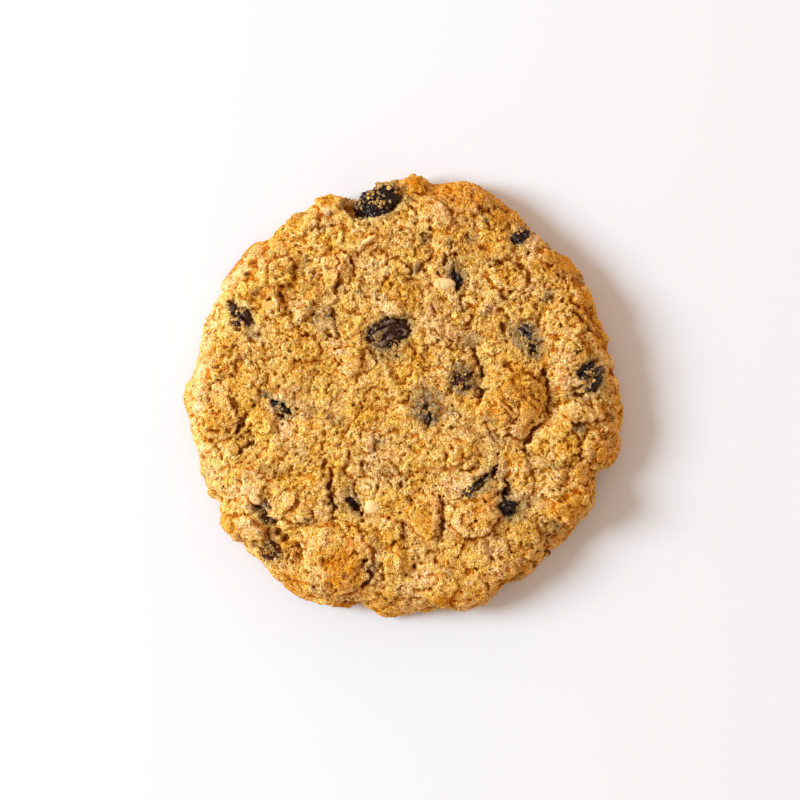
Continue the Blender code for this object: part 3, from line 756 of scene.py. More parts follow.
# Fruit stain under a thin film of dough: x, y, half length, half width, heading, strength.
stains = [
    (-17.0, 17.2, 3.2, 3.6, 0, 0.55), (-31.6, 13.2, 1.7, 1.3, 0, 0.8), (-31.5, 21.9, 1.2, 0.9, 0, 0.6),
    (-21.4, 28.7, 1.0, 1.0, 0, 0.7), (-14.0, 23.3, 0.9, 0.8, 0, 0.9), (-6.4, 21.3, 1.2, 1.0, 0, 0.5),
    (-10.0, 22.3, 1.0, 0.9, 0, 0.6), (-29.2, 1.1, 1.5, 1.2, 0, 1.0), (-26.4, -1.8, 3.2, 1.5, -45, 0.5),
    (-14.4, -4.6, 2.4, 1.1, 0, 0.45), (-5.6, -9.0, 2.0, 1.4, 30, 0.7), (-19.6, -2.2, 1.4, 1.2, 0, 0.5),
    (-28.0, -14.8, 2.6, 1.2, 0, 0.45), (-33.4, -15.6, 1.2, 0.8, 0, 0.4), (-4.2, 9.4, 4.6, 2.2, -10, 0.6),
    (-3.8, 13.4, 5.4, 4.2, 20, 0.5), (-1.0, 25.6, 1.4, 1.2, 0, 0.3), (3.8, 33.6, 1.6, 1.3, 0, 0.7),
    (2.4, 26.9, 1.4, 1.0, 0, 0.8), (9.2, 32.6, 1.0, 0.8, 0, 0.5), (13.6, 33.4, 1.6, 1.2, 0, 0.6),
    (17.0, 37.3, 0.9, 0.7, 0, 0.9), (9.6, 26.6, 2.8, 3.2, 0, 0.6), (17.4, 28.6, 2.2, 1.0, 0, 0.5),
    (8.2, 41.2, 1.8, 0.9, 0, 0.4), (0.8, 41.4, 1.0, 0.9, 0, 0.7), (29.6, 21.2, 1.8, 1.0, 35, 0.8),
    (24.6, 13.6, 3.6, 2.8, -40, 0.9), (26.4, 10.8, 2.2, 2.6, 0, 0.9), (34.2, 30.0, 1.6, 1.0, -40, 0.5),
    (36.2, 24.6, 1.4, 1.0, -40, 0.6), (16.4, 18.3, 1.0, 0.9, 0, 0.4), (5.4, 18.8, 3.4, 1.6, 30, 0.3),
    (13.2, 12.4, 3.0, 1.4, 20, 0.5), (11.8, 4.0, 2.8, 3.4, 0, 1.0), (15.4, 4.0, 1.6, 4.0, -8, 0.5),
    (4.6, 1.0, 3.4, 1.6, -10, 0.75), (3.8, -2.0, 3.0, 3.6, 30, 1.0), (8.6, -2.6, 3.0, 1.6, 0, 0.5),
    (17.2, -4.6, 1.1, 1.2, 0, 0.7), (17.9, -8.0, 1.0, 1.2, 0, 0.6), (25.7, -12.2, 1.0, 1.2, 0, 0.6),
    (30.6, -13.6, 1.0, 0.8, 0, 0.5), (43.5, -4.0, 1.0, 0.9, 0, 0.7), (36.2, -5.9, 1.3, 0.9, 0, 0.9),
    (33.4, 0.4, 1.4, 0.9, 0, 0.5), (38.6, 3.4, 4.4, 4.2, 0, 0.35), (-12.8, -19.6, 2.8, 4.4, 20, 0.3),
    (-10.9, -22.0, 2.6, 1.5, -48, 0.6), (-20.6, -25.6, 2.4, 0.9, 0, 0.4), (16.0, -17.6, 4.2, 1.8, 38, 0.8),
    (20.8, -17.4, 1.2, 3.2, 10, 0.5), (22.8, -23.0, 2.8, 2.8, 0, 0.6), (25.9, -21.6, 1.8, 0.8, 30, 0.6),
    (18.4, -19.4, 1.2, 1.0, 0, 0.5), (-30.6, -22.4, 1.6, 1.0, 0, 0.9), (-28.9, -25.2, 1.4, 0.9, -45, 0.9),
    (-31.8, -31.2, 1.0, 0.8, 0, 0.5), (-6.4, -35.2, 1.4, 1.0, 0, 0.5), (25.4, -30.2, 1.1, 0.8, 0, 0.4),
    (8.9, -36.4, 1.2, 1.0, 0, 0.4), (31.6, -27.8, 2.6, 1.0, 25, 0.4), (-0.6, -17.2, 0.8, 1.6, 0, 0.4),
]

# Browner patches: x, y, half length, half width, heading, strength.
toasted = [
    (-38.6, 8.0, 4.6, 3.6, 0, 0.3), (-36.6, 12.2, 3.4, 2.4, 0, 0.35), (-38.0, -3.4, 4.6, 4.6, 0, 0.35),
    (-27.0, 34.0, 9.0, 2.2, 42, 0.4), (-16.0, 41.4, 3.2, 2.2, 10, 0.5), (0.6, 45.0, 5.0, 2.4, 0, 0.8),
    (11.0, 42.4, 8.5, 3.6, -10, 0.75), (21.0, 37.6, 5.2, 3.2, -45, 0.6), (31.6, 28.6, 4.6, 3.2, -45, 0.65),
    (38.4, 17.6, 3.2, 4.4, 25, 0.8), (41.6, 12.6, 2.6, 4.0, 15, 0.9), (43.4, 2.6, 2.0, 6.0, 0, 0.6),
    (42.4, -8.0, 3.2, 6.0, 0, 0.7), (37.6, -16.6, 3.6, 4.6, 20, 0.6), (34.6, -21.6, 4.2, 2.6, 30, 0.45),
    (33.4, -28.0, 4.6, 2.6, 40, 0.6), (24.0, -36.0, 5.4, 2.8, 35, 0.55), (12.0, -41.6, 9.0, 2.6, 6, 0.6),
    (-3.0, -42.6, 7.0, 2.8, 0, 0.65), (-13.0, -36.6, 4.6, 6.0, 0, 0.75), (-8.0, -38.6, 3.2, 3.6, 0, 0.6),
    (-23.6, -38.4, 5.0, 2.2, -38, 0.7), (-30.0, -34.0, 3.4, 1.6, -30, 0.5),
    (16.6, -21.8, 3.8, 2.2, 30, 0.45), (3.4, -24.4, 3.4, 3.2, 0, 0.4), (22.0, -2.0, 5.6, 5.6, 0, 0.2),
    (-24.6, 31.4, 3.0, 1.4, 20, 0.6), (-25.6, 21.0, 1.0, 2.4, 0, 0.8), (-35.0, 24.0, 5.0, 1.8, 60, 0.25),
    (-21.6, 12.8, 3.4, 1.0, -5, 0.5), (7.0, 42.6, 3.0, 2.6, 0, 0.7), (-5.4, 45.0, 4.0, 1.0, 5, 0.6),
    (-30.6, 28.8, 2.6, 1.2, 30, 0.5), (16.2, 31.2, 1.8, 1.2, -10, 0.6), (-24.2, -31.0, 3.0, 2.6, -30, 0.6),
    (-14.4, -26.4, 2.0, 1.6, 0, 0.4), (-25.4, 30.5, 1.4, 1.0, 20, 1.6), (-18.5, 37.9, 0.9, 1.3, 0, 1.6),
    (-32.0, 28.3, 1.0, 1.0, 0, 1.2), (-25.4, 21.4, 1.0, 2.0, 0, 1.3), (40.4, 13.3, 2.0, 1.3, -30, 1.5),
    (44.0, 5.9, 1.0, 1.8, 0, 1.5), (16.4, 31.0, 1.2, 0.9, 0, 1.3), (44.2, -13.0, 1.2, 2.4, 10, 1.2),
    (34.5, -26.8, 2.2, 0.9, 45, 1.2), (20.4, -39.4, 3.0, 1.2, 25, 1.2), (-24.6, -37.4, 3.0, 1.0, -38, 1.3),
    (-12.0, -44.0, 4.0, 0.8, -4, 1.2),
]

# Paler, smoother patches.
pale = [
    (33.6, 6.6, 4.2, 5.4, 10, 0.8), (33.0, 16.0, 3.4, 2.8, 0, 0.5), (-43.4, 1.0, 2.0, 14.0, 0, 0.8),
    (-41.4, 15.4, 2.2, 5.0, -18, 0.7), (-36.4, 24.6, 2.0, 6.6, -38, 0.6), (-41.6, -13.4, 2.0, 6.0, 22, 0.7),
    (-32.0, -17.6, 2.4, 3.2, 10, 0.7), (6.4, 38.0, 3.0, 2.2, 0, 0.6), (-21.4, 17.9, 2.2, 1.4, 60, 0.6),
    (-22.0, -16.4, 5.0, 4.0, 0, 0.35), (36.2, -2.8, 4.0, 1.8, -8, 0.5), (-12.2, 8.2, 2.0, 2.4, 0, 0.4),
    (33.0, 25.8, 1.6, 4.4, 40, 0.5), (-31.0, 9.0, 3.4, 4.6, 0, 0.3), (10.4, -26.6, 2.4, 2.4, 0, 0.4),
    (12.4, -16.4, 4.4, 1.6, 15, 0.6), (-18.6, -38.4, 2.4, 4.0, -15, 0.5), (26.0, 25.4, 1.6, 3.4, 0, 0.5),
    (-36.8, -19.2, 2.4, 3.0, 0, 0.5), (-26.4, -24.6, 1.0, 1.8, -40, 0.5),
]


def ellipseDistance(plan, x, y, halfLength, halfWidth, heading):
    # 0 at the middle of an ellipse, 1 on its edge
    away = plan - (np.array((x, y)) + np.array(outlineMiddle))
    turn = math.radians(heading)
    along = away @ np.array((math.cos(turn), math.sin(turn)))
    across = away @ np.array((-math.sin(turn), math.cos(turn)))
    return np.hypot(along / halfLength, across / halfWidth)


def pathDistance(plan, path):
    nearest = np.full(len(plan), 1e9)
    for start, end in zip(path[:-1], path[1:]):
        first = np.array(start) + np.array(outlineMiddle)
        run = np.array(end) - np.array(start)
        along = np.clip((plan - first) @ run / (run @ run), 0, 1)
        nearest = np.minimum(nearest, np.linalg.norm(plan - first - along[:, None] * run, axis=1))
    return nearest


def ease(value):
    value = np.clip(value, 0, 1)
    return value * value * (3 - 2 * value)


def beyondEllipse(plan, x, y, halfLength, halfWidth, heading):
    # how far outside the ellipse, in millimetres
    return (ellipseDistance(plan, x, y, halfLength, halfWidth, heading) - 1) * min(halfLength, halfWidth)


def patchMask(plan, patches, softness):
    # the strongest of several elliptical patches, each fading over `softness` of its size
    mask = np.zeros(len(plan))
    for *shape, strength in patches:
        fade = (1 + softness - ellipseDistance(plan, *shape)) / (2 * softness)
        mask = np.maximum(mask, strength * ease(fade))
    return mask


def storeGap(mesh, name, gaps, upper):
    # gaps: how far off each one is and how deep; the nearest and the deepest are kept
    nearest = np.full(len(upper), marking["farGap"])
    depth = np.zeros(len(upper))
    for away, deep in gaps:
        nearest = np.minimum(nearest, away)
        depth = np.maximum(depth, deep * ease(marking["gapReach"] - away))
    storeValues(mesh, name + "Gap", nearest + marking["farGap"] * (1 - upper))
    storeValues(mesh, name + "Depth", depth)


def wanderedPlan(points, wide, fine):
    # plan positions in millimetres, wandering a little so that every edge drawn on them is torn
    wander = np.array([
        wide * noise.noise_vector(place / 2.6) + fine * noise.noise_vector(place / 1.0 + Vector((7, 3, 1)))
        for place in map(Vector, points / mm)
    ])
    return points[:, :2] / mm + wander[:, :2]


def markDough(mesh):
    # writes what is where on the dough as attributes that its trees and its material read
    noise.seed_set(marking["noiseSeed"])    # unset, the wandering of the edges would change with the clock
    points = meshPoints(mesh)
    height = points[:, 2] / mm
    plan = wanderedPlan(points, *marking["wander"])
    closePlan = wanderedPlan(points, *marking["closeWander"])
    upper = ease((height - marking["crownFrom"]) / marking["crownFade"])

    rise = np.zeros(len(plan))
    foot = np.zeros(len(plan))
    for x, y, *shape, high in blocks:
        beyond = beyondEllipse(plan, x, y, *shape)
        rise = np.maximum(rise, high * ease(0.5 - beyond / marking["blockEdge"]))
        # a groove at each block's foot, on the side away from the key light, which the material paints dark:
        # painted shadow
        away = plan - (np.array((x, y)) + np.array(outlineMiddle))
        towardShadow = 0.8 * (away @ np.array(marking["shadowSide"])) / np.maximum(np.linalg.norm(away, axis=1), 0.1)
        ditch = np.exp(-(((beyond - marking["blockEdge"]) / marking["footWidth"]) ** 2))
        foot = np.maximum(foot, ease(0.55 + towardShadow) * ditch)
    storeValues(mesh, "rise", rise * upper)
    storeValues(mesh, "foot", foot * upper)
    storeGap(mesh, "crack", ((pathDistance(closePlan, path) - width / 2, deep)
                             for width, deep, *path in cracks), upper)
    storeGap(mesh, "bare", ((beyondEllipse(closePlan, *shape), deep) for *shape, deep in openings), upper)

    skirt = np.zeros(len(plan))
    around = np.degrees(np.arctan2(points[:, 1], points[:, 0])) % 360
    for start, end, amount in skirts:
        ends = ease((around - start) / marking["skirtFade"]) * ease((end - around) / marking["skirtFade"])
        skirt = np.maximum(skirt, amount * ends)
    skirt *= ease((marking["skirtTop"] - height) / 1.0) * ease(height / 0.8)
    storeValues(mesh, "skirt", skirt)

    storeValues(mesh, "stain", patchMask(plan, stains, 0.5) * upper)
    rim = ease((np.hypot(*(points[:, :2] / mm).T) - marking["rimFrom"]) / marking["rimFade"])
    under = marking["underToast"] * (1 - ease(height / marking["underHeight"]))
    browned = np.maximum(patchMask(plan, toasted, 0.6) * upper, np.maximum(marking["rimToast"] * rim, under))
    storeValues(mesh, "toast", np.maximum(browned, marking["skirtToast"] * skirt))
    storeValues(mesh, "pale", patchMask(plan, pale, 0.5) * upper)


# dough: relief

relief = {
    "Terrace Size": 6.0,
    "Terrace Step": 0.33,
    "Terrace Count": 9.0,
    "Shelf Size": 2.8,
    "Shelf Step": 0.10,
    "Shelf Count": 6.0,
    "Groove Depth": 0.19,
    "Block Rise": 0.85,
    "Crack Depth": 0.75,
    "Skirt": 1.3,
    "Rim Lump Size": 6.5,
    "Rim Lump Height": 1.3,
    "Lump Size": 3.4,
    "Lump Height": 0.42,
    "Plate Size": 3.4,
    "Plate Height": 0.20,
    "Plate Tilt": 0.22,
    "Chip Size": 1.3,
    "Chip Height": 0.08,
    "Chip Tilt": 0.10,
    "Grain Size": 0.9,
    "Grain Height": 0.06,
    "Pit Spacing": 1.6,
    "Pit Depth": 0.30,
    "Seed": 4.0,
}

# The noises behind the relief: their sizes, and how far they push things, in millimetres.
reliefNoise = {
    "wander": 3.4,
    "wanderReach": 3.0,
    "ripple": 0.9,
    "rippleReach": 0.7,
    "ripplePush": 0.12,
    "rough": 6.0,
    "groove": 2.2,
    "lumpy": 9.0,
    "ragged": 1.1,
    "broken": 2.4,
    "smoothSide": (-0.85, 0.5, 0.0),
}


def position(tree):
    return addNode(tree, "GeometryNodeInputPosition").outputs[0]


def facingOut(tree):
    return addNode(tree, "GeometryNodeInputNormal").outputs[0]


def blurred(tree, value, steps, kind="FLOAT"):
    inputs = {"Value": value, "Iterations": steps}
    return addNode(tree, "GeometryNodeBlurAttribute", inputs, data_type=kind).outputs[0]


def namedValue(tree, name, kind="FLOAT"):
    return addNode(tree, "GeometryNodeInputNamedAttribute", {"Name": name}, data_type=kind).outputs[0]


def storeNamed(tree, geometry, name, value):
    inputs = {"Geometry": geometry, "Name": name, "Value": value}
    settings = {"data_type": "FLOAT", "domain": "POINT"}
    return addNode(tree, "GeometryNodeStoreNamedAttribute", inputs, **settings).outputs[0]


def setPlaces(tree, geometry, **change):
    return addNode(tree, "GeometryNodeSetPosition", {"Geometry": geometry, **change}).outputs[0]


def plateField(tree, place, given, kind, number):
    # cells that each lie at a height and a slant of their own, like flakes pressed into dough
    spot = scaled(tree, place, calc(tree, "DIVIDE", 1 / mm, given[kind + " Size"]))
    inputs = {"Vector": spot, "Scale": 1.0, "W": add(tree, given["Seed"], number)}
    node = addNode(tree, "ShaderNodeTexVoronoi", inputs, voronoi_dimensions="4D")
    chance = vectorCalc(tree, "SUBTRACT", node.outputs["Color"], (0.5, 0.5, 0.5))
    away = vectorCalc(tree, "SUBTRACT", spot, node.outputs["Position"])
    tilt = times(tree, given[kind + " Tilt"], 2.0)
    slant = times(tree, vectorCalc(tree, "DOT_PRODUCT", away, chance), tilt)
    return timesAdd(tree, part(tree, chance, 2), given[kind + " Height"], slant), part(tree, chance)


def terraceField(tree, place, given, kind, detail):
    # noise cut into steps, with edges as ragged as the noise and a groove under each edge
    size = given[kind + " Size"]
    ground = speckle(tree, place, size, detail, 0.5, times(tree, size, given["Seed"]))[0]
    ground = times(tree, less(tree, ground, 0.5), given[kind + " Count"])
    below = calc(tree, "FLOOR", ground)
    within = less(tree, ground, below)
    groove = times(tree, remap(tree, within, 0.20, 0.36), remap(tree, within, 0.50, 0.42))
    return times(tree, add(tree, below, remap(tree, within, 0.44, 0.56)), given[kind + " Step"]), groove


def roughness(tree, field, facing):
    # some places are rougher than others; pale ones and steep ones are smoother
    rough = remap(tree, field("rough", 3.0, 9.0), 0.42, 0.64, 0.05, 1.3)
    rough = times(tree, rough, remap(tree, namedValue(tree, "pale"), 0.0, 1.0, 1.0, 0.5))
    return times(tree, rough, remap(tree, facing, 0.2, 0.8, 0.5, 1.0))


def rimKnobs(tree, field, normal, facing):
    # knobs round the rim, pulled in more than pushed out, and weaker on the side with fewer of them
    knob = remap(tree, field("Rim Lump", 1.0, 12.0), 0.36, 0.56, -0.75, 0.30)
    knob = times(tree, knob, remap(tree, facing, 0.75, 0.3))
    smoothSide = vectorCalc(tree, "DOT_PRODUCT", normal, reliefNoise["smoothSide"])
    knob = times(tree, knob, remap(tree, smoothSide, -0.3, 0.7, 1.0, 0.4))
    return times(tree, knob, remap(tree, namedValue(tree, "bareGap"), 0.0, 1.5))


def roundLumps(tree, field, torn):
    # rounded lumps with creases between them, more in some places than in others
    lump = calc(tree, "ABSOLUTE", less(tree, field("Lump", 2.0, 7.0, torn), 0.5))
    lump = calc(tree, "SUBTRACT", 1.0, times(tree, lump, 8.0), clamp=True)
    lump = less(tree, 0.6, times(tree, lump, lump))
    return times(tree, lump, remap(tree, field("lumpy", 1.0, 8.0), 0.40, 0.58, 0.25, 1.0))


def doughReliefTree():
    tree, given, out = geometryTree("doughRelief", **relief)
    seed = given["Seed"]
    place = position(tree)
    normal = facingOut(tree)
    facing = part(tree, normal, 2)
    kept = setPlaces(tree, given["Geometry"], Position=blurred(tree, place, 22, "FLOAT_VECTOR"))

    def field(kind, detail, number, spot=place):
        # soft noise whose size is a fixed one or an input of the tree
        size = reliefNoise[kind] if kind in reliefNoise else given[kind + " Size"]
        return speckle(tree, spot, size, detail, 0.5, add(tree, seed, number))[0]

    ripple = wobble(tree, place, reliefNoise["ripple"], 1.0, seed)
    wander = wobble(tree, place, reliefNoise["wander"], 2.0, seed)
    torn = pushed(tree, place, wander, reliefNoise["wanderReach"] * mm)
    torn = pushed(tree, torn, ripple, reliefNoise["rippleReach"] * mm)

    # steps with a groove under each edge
    terrace, groove = terraceField(tree, torn, given, "Terrace", 4.0)
    shelf, nick = terraceField(tree, torn, given, "Shelf", 3.0)
    rough = roughness(tree, field, facing)
    height = timesAdd(tree, shelf, rough, terrace)
    height = timesAdd(tree, rimKnobs(tree, field, normal, facing), given["Rim Lump Height"], height)
    foot = calc(tree, "MAXIMUM", groove, times(tree, nick, rough))
    foot = calc(tree, "MAXIMUM", foot, namedValue(tree, "foot"))
    foot = times(tree, foot, remap(tree, field("groove", 2.0, 2.0), 0.42, 0.56))
    height = add(tree, height, times(tree, roundLumps(tree, field, torn), given["Lump Height"]))

    # plates, chips, grain and pits
    plate, plateTone = plateField(tree, torn, given, "Plate", 0.0)
    chipHeight = plateField(tree, torn, given, "Chip", 6.0)[0]
    grain = times(tree, less(tree, field("Grain", 3.0, 4.0), 0.5), 3.0, given["Grain Height"])
    fine = times(tree, add(tree, chipHeight, grain), rough)
    pitGap, pitTone = cells(tree, torn, given["Pit Spacing"], 5.0)
    pitWidth = remap(tree, part(tree, pitTone), 0.45, 1.0, 0.0, 0.30, smooth=False)
    pit = remap(tree, less(tree, pitWidth, pitGap), -0.04, 0.08)

    # cracks break up along their length, and openings over raisins have torn edges
    ragged = times(tree, less(tree, field("ragged", 3.0, 0.0), 0.5), 2.2)
    broken = less(tree, field("broken", 2.0, 1.0), 0.45)
    breaking = remap(tree, namedValue(tree, "crackDepth"), 0.8, 1.2, 2.6, 0.8)
    broken = timesAdd(tree, broken, breaking, ragged)
    crack = remap(tree, add(tree, namedValue(tree, "crackGap"), broken), 0.3, -0.4)
    bare = remap(tree, timesAdd(tree, ragged, 0.7, namedValue(tree, "bareGap")), 0.25, -0.3)

    height = add(tree, add(tree, height, plate), fine)
    height = timesAdd(tree, namedValue(tree, "rise"), given["Block Rise"], height)
    height = times(tree, height, remap(tree, namedValue(tree, "skirt"), 0.0, 1.0, 1.0, 0.35))
    height = timesAdd(tree, namedValue(tree, "skirt"), given["Skirt"], height)
    cuts = (times(tree, foot, given["Groove Depth"]),
            times(tree, crack, namedValue(tree, "crackDepth"), given["Crack Depth"]),
            times(tree, pit, given["Pit Depth"]),
            times(tree, bare, namedValue(tree, "bareDepth")))
    for cut in cuts:
        height = less(tree, height, cut)

    # what the material and the sown lumps read: `crest` is the height over what lies around
    heightNow = namedValue(tree, "height")
    stored = {"rough": rough, "crack": crack, "height": height, "level": blurred(tree, heightNow, 10),
              "crest": less(tree, heightNow, namedValue(tree, "level")), "pit": pit, "foot": foot,
              "plateTone": plateTone}
    for name, value in stored.items():
        kept = storeNamed(tree, kept, name, value)

    push = scaled(tree, normal, times(tree, heightNow, mm))
    push = pushed(tree, push, ripple, reliefNoise["ripplePush"] * mm)
    moved = vectorCalc(tree, "ADD", position(tree), push)
    onFloor = calc(tree, "MAXIMUM", part(tree, moved, 2), 0.0)
    moved = joined(tree, part(tree, moved), part(tree, moved, 1), onFloor)
    endTree(tree, setPlaces(tree, kept, Position=moved), doughMaterial, out, smooth=True)
    return tree


def makeDough():
    mesh = makeBlank()
    print("blank:", len(mesh.polygons), "faces")
    markDough(mesh)
    print("dough marked")
    return bakeTree("cookieDough", mesh, doughReliefTree(), relief)


dough = makeDough()


# crumbs and oat flakes

# `Amount` to the square millimetre; sizes in millimetres
oatFlake = {
    "Amount": 0.02, "Smallest": 1.0, "Largest": 2.2, "Flatness": 0.22, "Lift": -0.14,
    "Roughness": 1.6, "Tilt": 0.30, "Clustering": 0.3, "Seed": 6.0,
}
chip = {
    "Amount": 0.17, "Smallest": 0.28, "Largest": 0.75, "Flatness": 0.38, "Lift": -0.12,
    "Roughness": 0.6, "Tilt": 0.5, "Clustering": 0.6, "Seed": 3.0,
}
crumb = {
    "Amount": 0.6, "Smallest": 0.12, "Largest": 0.30, "Flatness": 0.8, "Lift": 0.05,
    "Roughness": 0.3, "Tilt": 3.0, "Clustering": 0.8, "Seed": 8.0,
}


def randomValue(tree, low, high, seed):
    inputs = {2: low, 3: high, "Seed": seed}
    return addNode(tree, "FunctionNodeRandomValue", inputs, data_type="FLOAT").outputs[1]


def lumpShape(tree, kind):
    # one lump of half length 1: a grain of crumb, an angular chip, a flat flake or a smooth kernel
    discs = {
        "chip": {"Vertices": 7, "Depth": 1.8},
        "flake": {"Vertices": 12, "Fill Segments": 2, "Depth": 1.6},
    }
    if kind in discs:
        return addNode(tree, "GeometryNodeMeshCylinder", discs[kind], fill_type="TRIANGLE_FAN").outputs[0]
    if kind == "kernel":
        return addNode(tree, "GeometryNodeMeshUVSphere", {"Segments": 28, "Rings": 18}).outputs[0]
    return addNode(tree, "GeometryNodeMeshIcoSphere").outputs[0]


def lumpNodes(tree, given, points, scale, turn, kind, material, out):
    # a rough lump on every point, made real, roughened, and given its material
    points = storeNamed(tree, points, "tone", randomValue(tree, -0.5, 0.5, 2))
    sown = addNode(tree, "GeometryNodeInstanceOnPoints", {"Points": points, "Instance": lumpShape(tree, kind),
                                                          "Rotation": turn, "Scale": scale}).outputs[0]
    real = addNode(tree, "GeometryNodeRealizeInstances", {"Geometry": sown}).outputs[0]
    place = position(tree)
    lumpSize = times(tree, given["Largest"], 0.7)
    reach = times(tree, given["Roughness"], mm)
    push = scaled(tree, wobble(tree, place, lumpSize, 2.0, given["Seed"]), reach)
    endTree(tree, setPlaces(tree, real, Offset=push), material, out, smooth=kind == "kernel")


def randomTurn(tree, given, turn):
    # spins each lump round and leans it by up to Tilt
    lean = [times(tree, randomValue(tree, -1.0, 1.0, number), given["Tilt"]) for number in (3, 4)]
    spin = joined(tree, *lean, randomValue(tree, 0.0, math.tau, 5))
    spin = addNode(tree, "FunctionNodeEulerToRotation", {0: spin}).outputs[0]
    return addNode(tree, "FunctionNodeRotateRotation", {"Rotation": turn, "Rotate By": spin},
                   rotation_space="LOCAL").outputs[0]


def sownTree(name, values, kind):
    # sows rough lumps over the upper and outer faces of the dough, `Amount` to the square millimetre
    tree, given, out = geometryTree(name, **values)
    place = position(tree)
    height = part(tree, place, 2)
    facing = part(tree, facingOut(tree), 2)
    covered = times(tree, remap(tree, facing, -0.5, 0.1), remap(tree, height, 0.6 * mm, 1.6 * mm))
    covered = times(tree, covered, remap(tree, namedValue(tree, "bareGap"), 0.0, 0.4))
    covered = times(tree, covered, remap(tree, namedValue(tree, "crackGap"), 0.0, 0.3, 0.1, 1.0))
    clusters = speckle(tree, place, 4.0, 2.0, 0.5, given["Seed"])[0]
    clusters = remap(tree, clusters, 0.40, 0.60, less(tree, 1.0, given["Clustering"]), 1.0)
    covered = times(tree, covered, clusters)
    covered = times(tree, covered, remap(tree, namedValue(tree, "rough"), 0.4, 1.3, 0.3, 1.5, smooth=False))
    if kind != "crumb":
        # the larger ones keep off the cracks, and off the rim, which is smoother
        covered = times(tree, covered, remap(tree, namedValue(tree, "crackGap"), 0.2, 0.9))
        covered = times(tree, covered, remap(tree, facing, 0.3, 0.8, 0.15, 1.0))
    density = times(tree, times(tree, covered, given["Amount"]), 1e6)
    inputs = {"Mesh": given["Geometry"], "Density": density, "Seed": given["Seed"]}
    points = addNode(tree, "GeometryNodeDistributePointsOnFaces", inputs)
    chance = randomValue(tree, 0.0, 1.0, 1)
    spread = less(tree, given["Largest"], given["Smallest"])
    size = timesAdd(tree, times(tree, chance, chance), spread, given["Smallest"])
    size = times(tree, size, mm)
    lifted = scaled(tree, points.outputs["Normal"], times(tree, size, given["Lift"]))
    placed = setPlaces(tree, points.outputs["Points"], Offset=lifted)
    across = times(tree, size, randomValue(tree, 0.6, 1.0, 6))
    thick = times(tree, size, given["Flatness"])
    scale = joined(tree, size, across, thick)
    turn = randomTurn(tree, given, points.outputs["Rotation"])
    lumpNodes(tree, given, placed, scale, turn, kind, doughMaterial, out)
    return tree


def placedTree(name, values, kind, material):
    # the same lumps on the points of a mesh, whose attributes give half sizes in millimetres and a turn
    tree, given, out = geometryTree(name, **values)
    half = namedValue(tree, "half", "FLOAT_VECTOR")
    turn = namedValue(tree, "turn", "FLOAT_VECTOR")
    turn = addNode(tree, "FunctionNodeEulerToRotation", {0: turn}).outputs[0]
    points = addNode(tree, "GeometryNodeMeshToPoints", {"Mesh": given["Geometry"]}).outputs[0]
    lumpNodes(tree, given, points, scaled(tree, half, mm), turn, kind, material, out)
    return tree


def finishPiece(piece, replaced=()):
    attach(piece, "root")
    if replaced:
        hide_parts(*replaced)
    print(piece.name + ":", len(piece.data.polygons), "faces")
    return piece


def makeSown(name, values, kind):
    piece = bakeTree(name, dough.data.copy(), sownTree(name + "Sown", values, kind), values)
    return finishPiece(piece)


finishPiece(dough, ["cookie"])
makeSown("oatFlakes", oatFlake, "flake")
makeSown("oatChips", chip, "chip")
makeSown("crumbs", crumb, "crumb")


# raisins

raisinLook = {
    "flesh": tint(26, 11, 9),
    "ruddyFlesh": tint(82, 30, 8),
    "ridge": tint(58, 32, 27),
    "film": tint(130, 106, 84),
    "filmSize": 2.0,
    "Fold Size": 1.7,
    "Fold Depth": 0.70,
    "Crease Size": 0.7,
    "Crease Depth": 0.28,
    "Stretch": 0.38,
    "Seed": 11.0,
    # how dusty and how reddish each raisin is, in the order of their names
    "dust": (0.15, 0.0, 0.2, 0.3, 1.0, 0.65, 0.0, 0.6, 1.0, 0.7, 0.3, 0.35, 0.1, 0.2, 0.4, 0.1),
    "ruddy": (0.0, 0.1, 0.0, 0.35, 0.3, 0.0, 0.0, 0.0, 0.0, 0.5, 0.25, 0.0, 0.0, 0.9, 0.5, 0.8),
}


def raisinTree(material):
    names = ("Fold Size", "Fold Depth", "Crease Size", "Crease Depth", "Stretch", "Seed")
    numbers = {name: raisinLook[name] for name in names}
    tree, given, out = geometryTree("raisinFolds", **numbers, Heading=0.0, Dust=0.0, Ruddy=0.0)
    seed = given["Seed"]
    mesh = addNode(tree, "GeometryNodeSubdivisionSurface", {"Mesh": given["Geometry"], "Level": 3}).outputs[0]
    place = position(tree)
    # folds run along the raisin: its own length is squeezed before the noise is read
    inputs = {"Vector": place, "Angle": times(tree, given["Heading"], -1.0)}
    along = addNode(tree, "ShaderNodeVectorRotate", inputs, rotation_type="Z_AXIS").outputs[0]
    along = vectorCalc(tree, "MULTIPLY", along, joined(tree, given["Stretch"], 1.0, 1.0))

    def valleys(size, width, number):
        level = speckle(tree, along, size, 1.0, 0.5, add(tree, seed, number))[0]
        away = calc(tree, "ABSOLUTE", less(tree, level, 0.5))
        return remap(tree, away, 0.0, width, -0.8, 0.5)

    normal = facingOut(tree)
    upward = part(tree, normal, 2)
    fold = times(tree, valleys(given["Fold Size"], 0.20, 0.0), given["Fold Depth"])
    crease = times(tree, valleys(given["Crease Size"], 0.18, 1.0), given["Crease Depth"])
    kept = storeNamed(tree, mesh, "crest", add(tree, fold, crease))
    kept = storeNamed(tree, kept, "dust", times(tree, given["Dust"], remap(tree, upward, 0.45, 0.85)))
    kept = storeNamed(tree, kept, "ruddy", given["Ruddy"])
    push = scaled(tree, normal, times(tree, namedValue(tree, "crest"), mm))
    endTree(tree, setPlaces(tree, kept, Offset=push), material, out, smooth=True)
    return tree


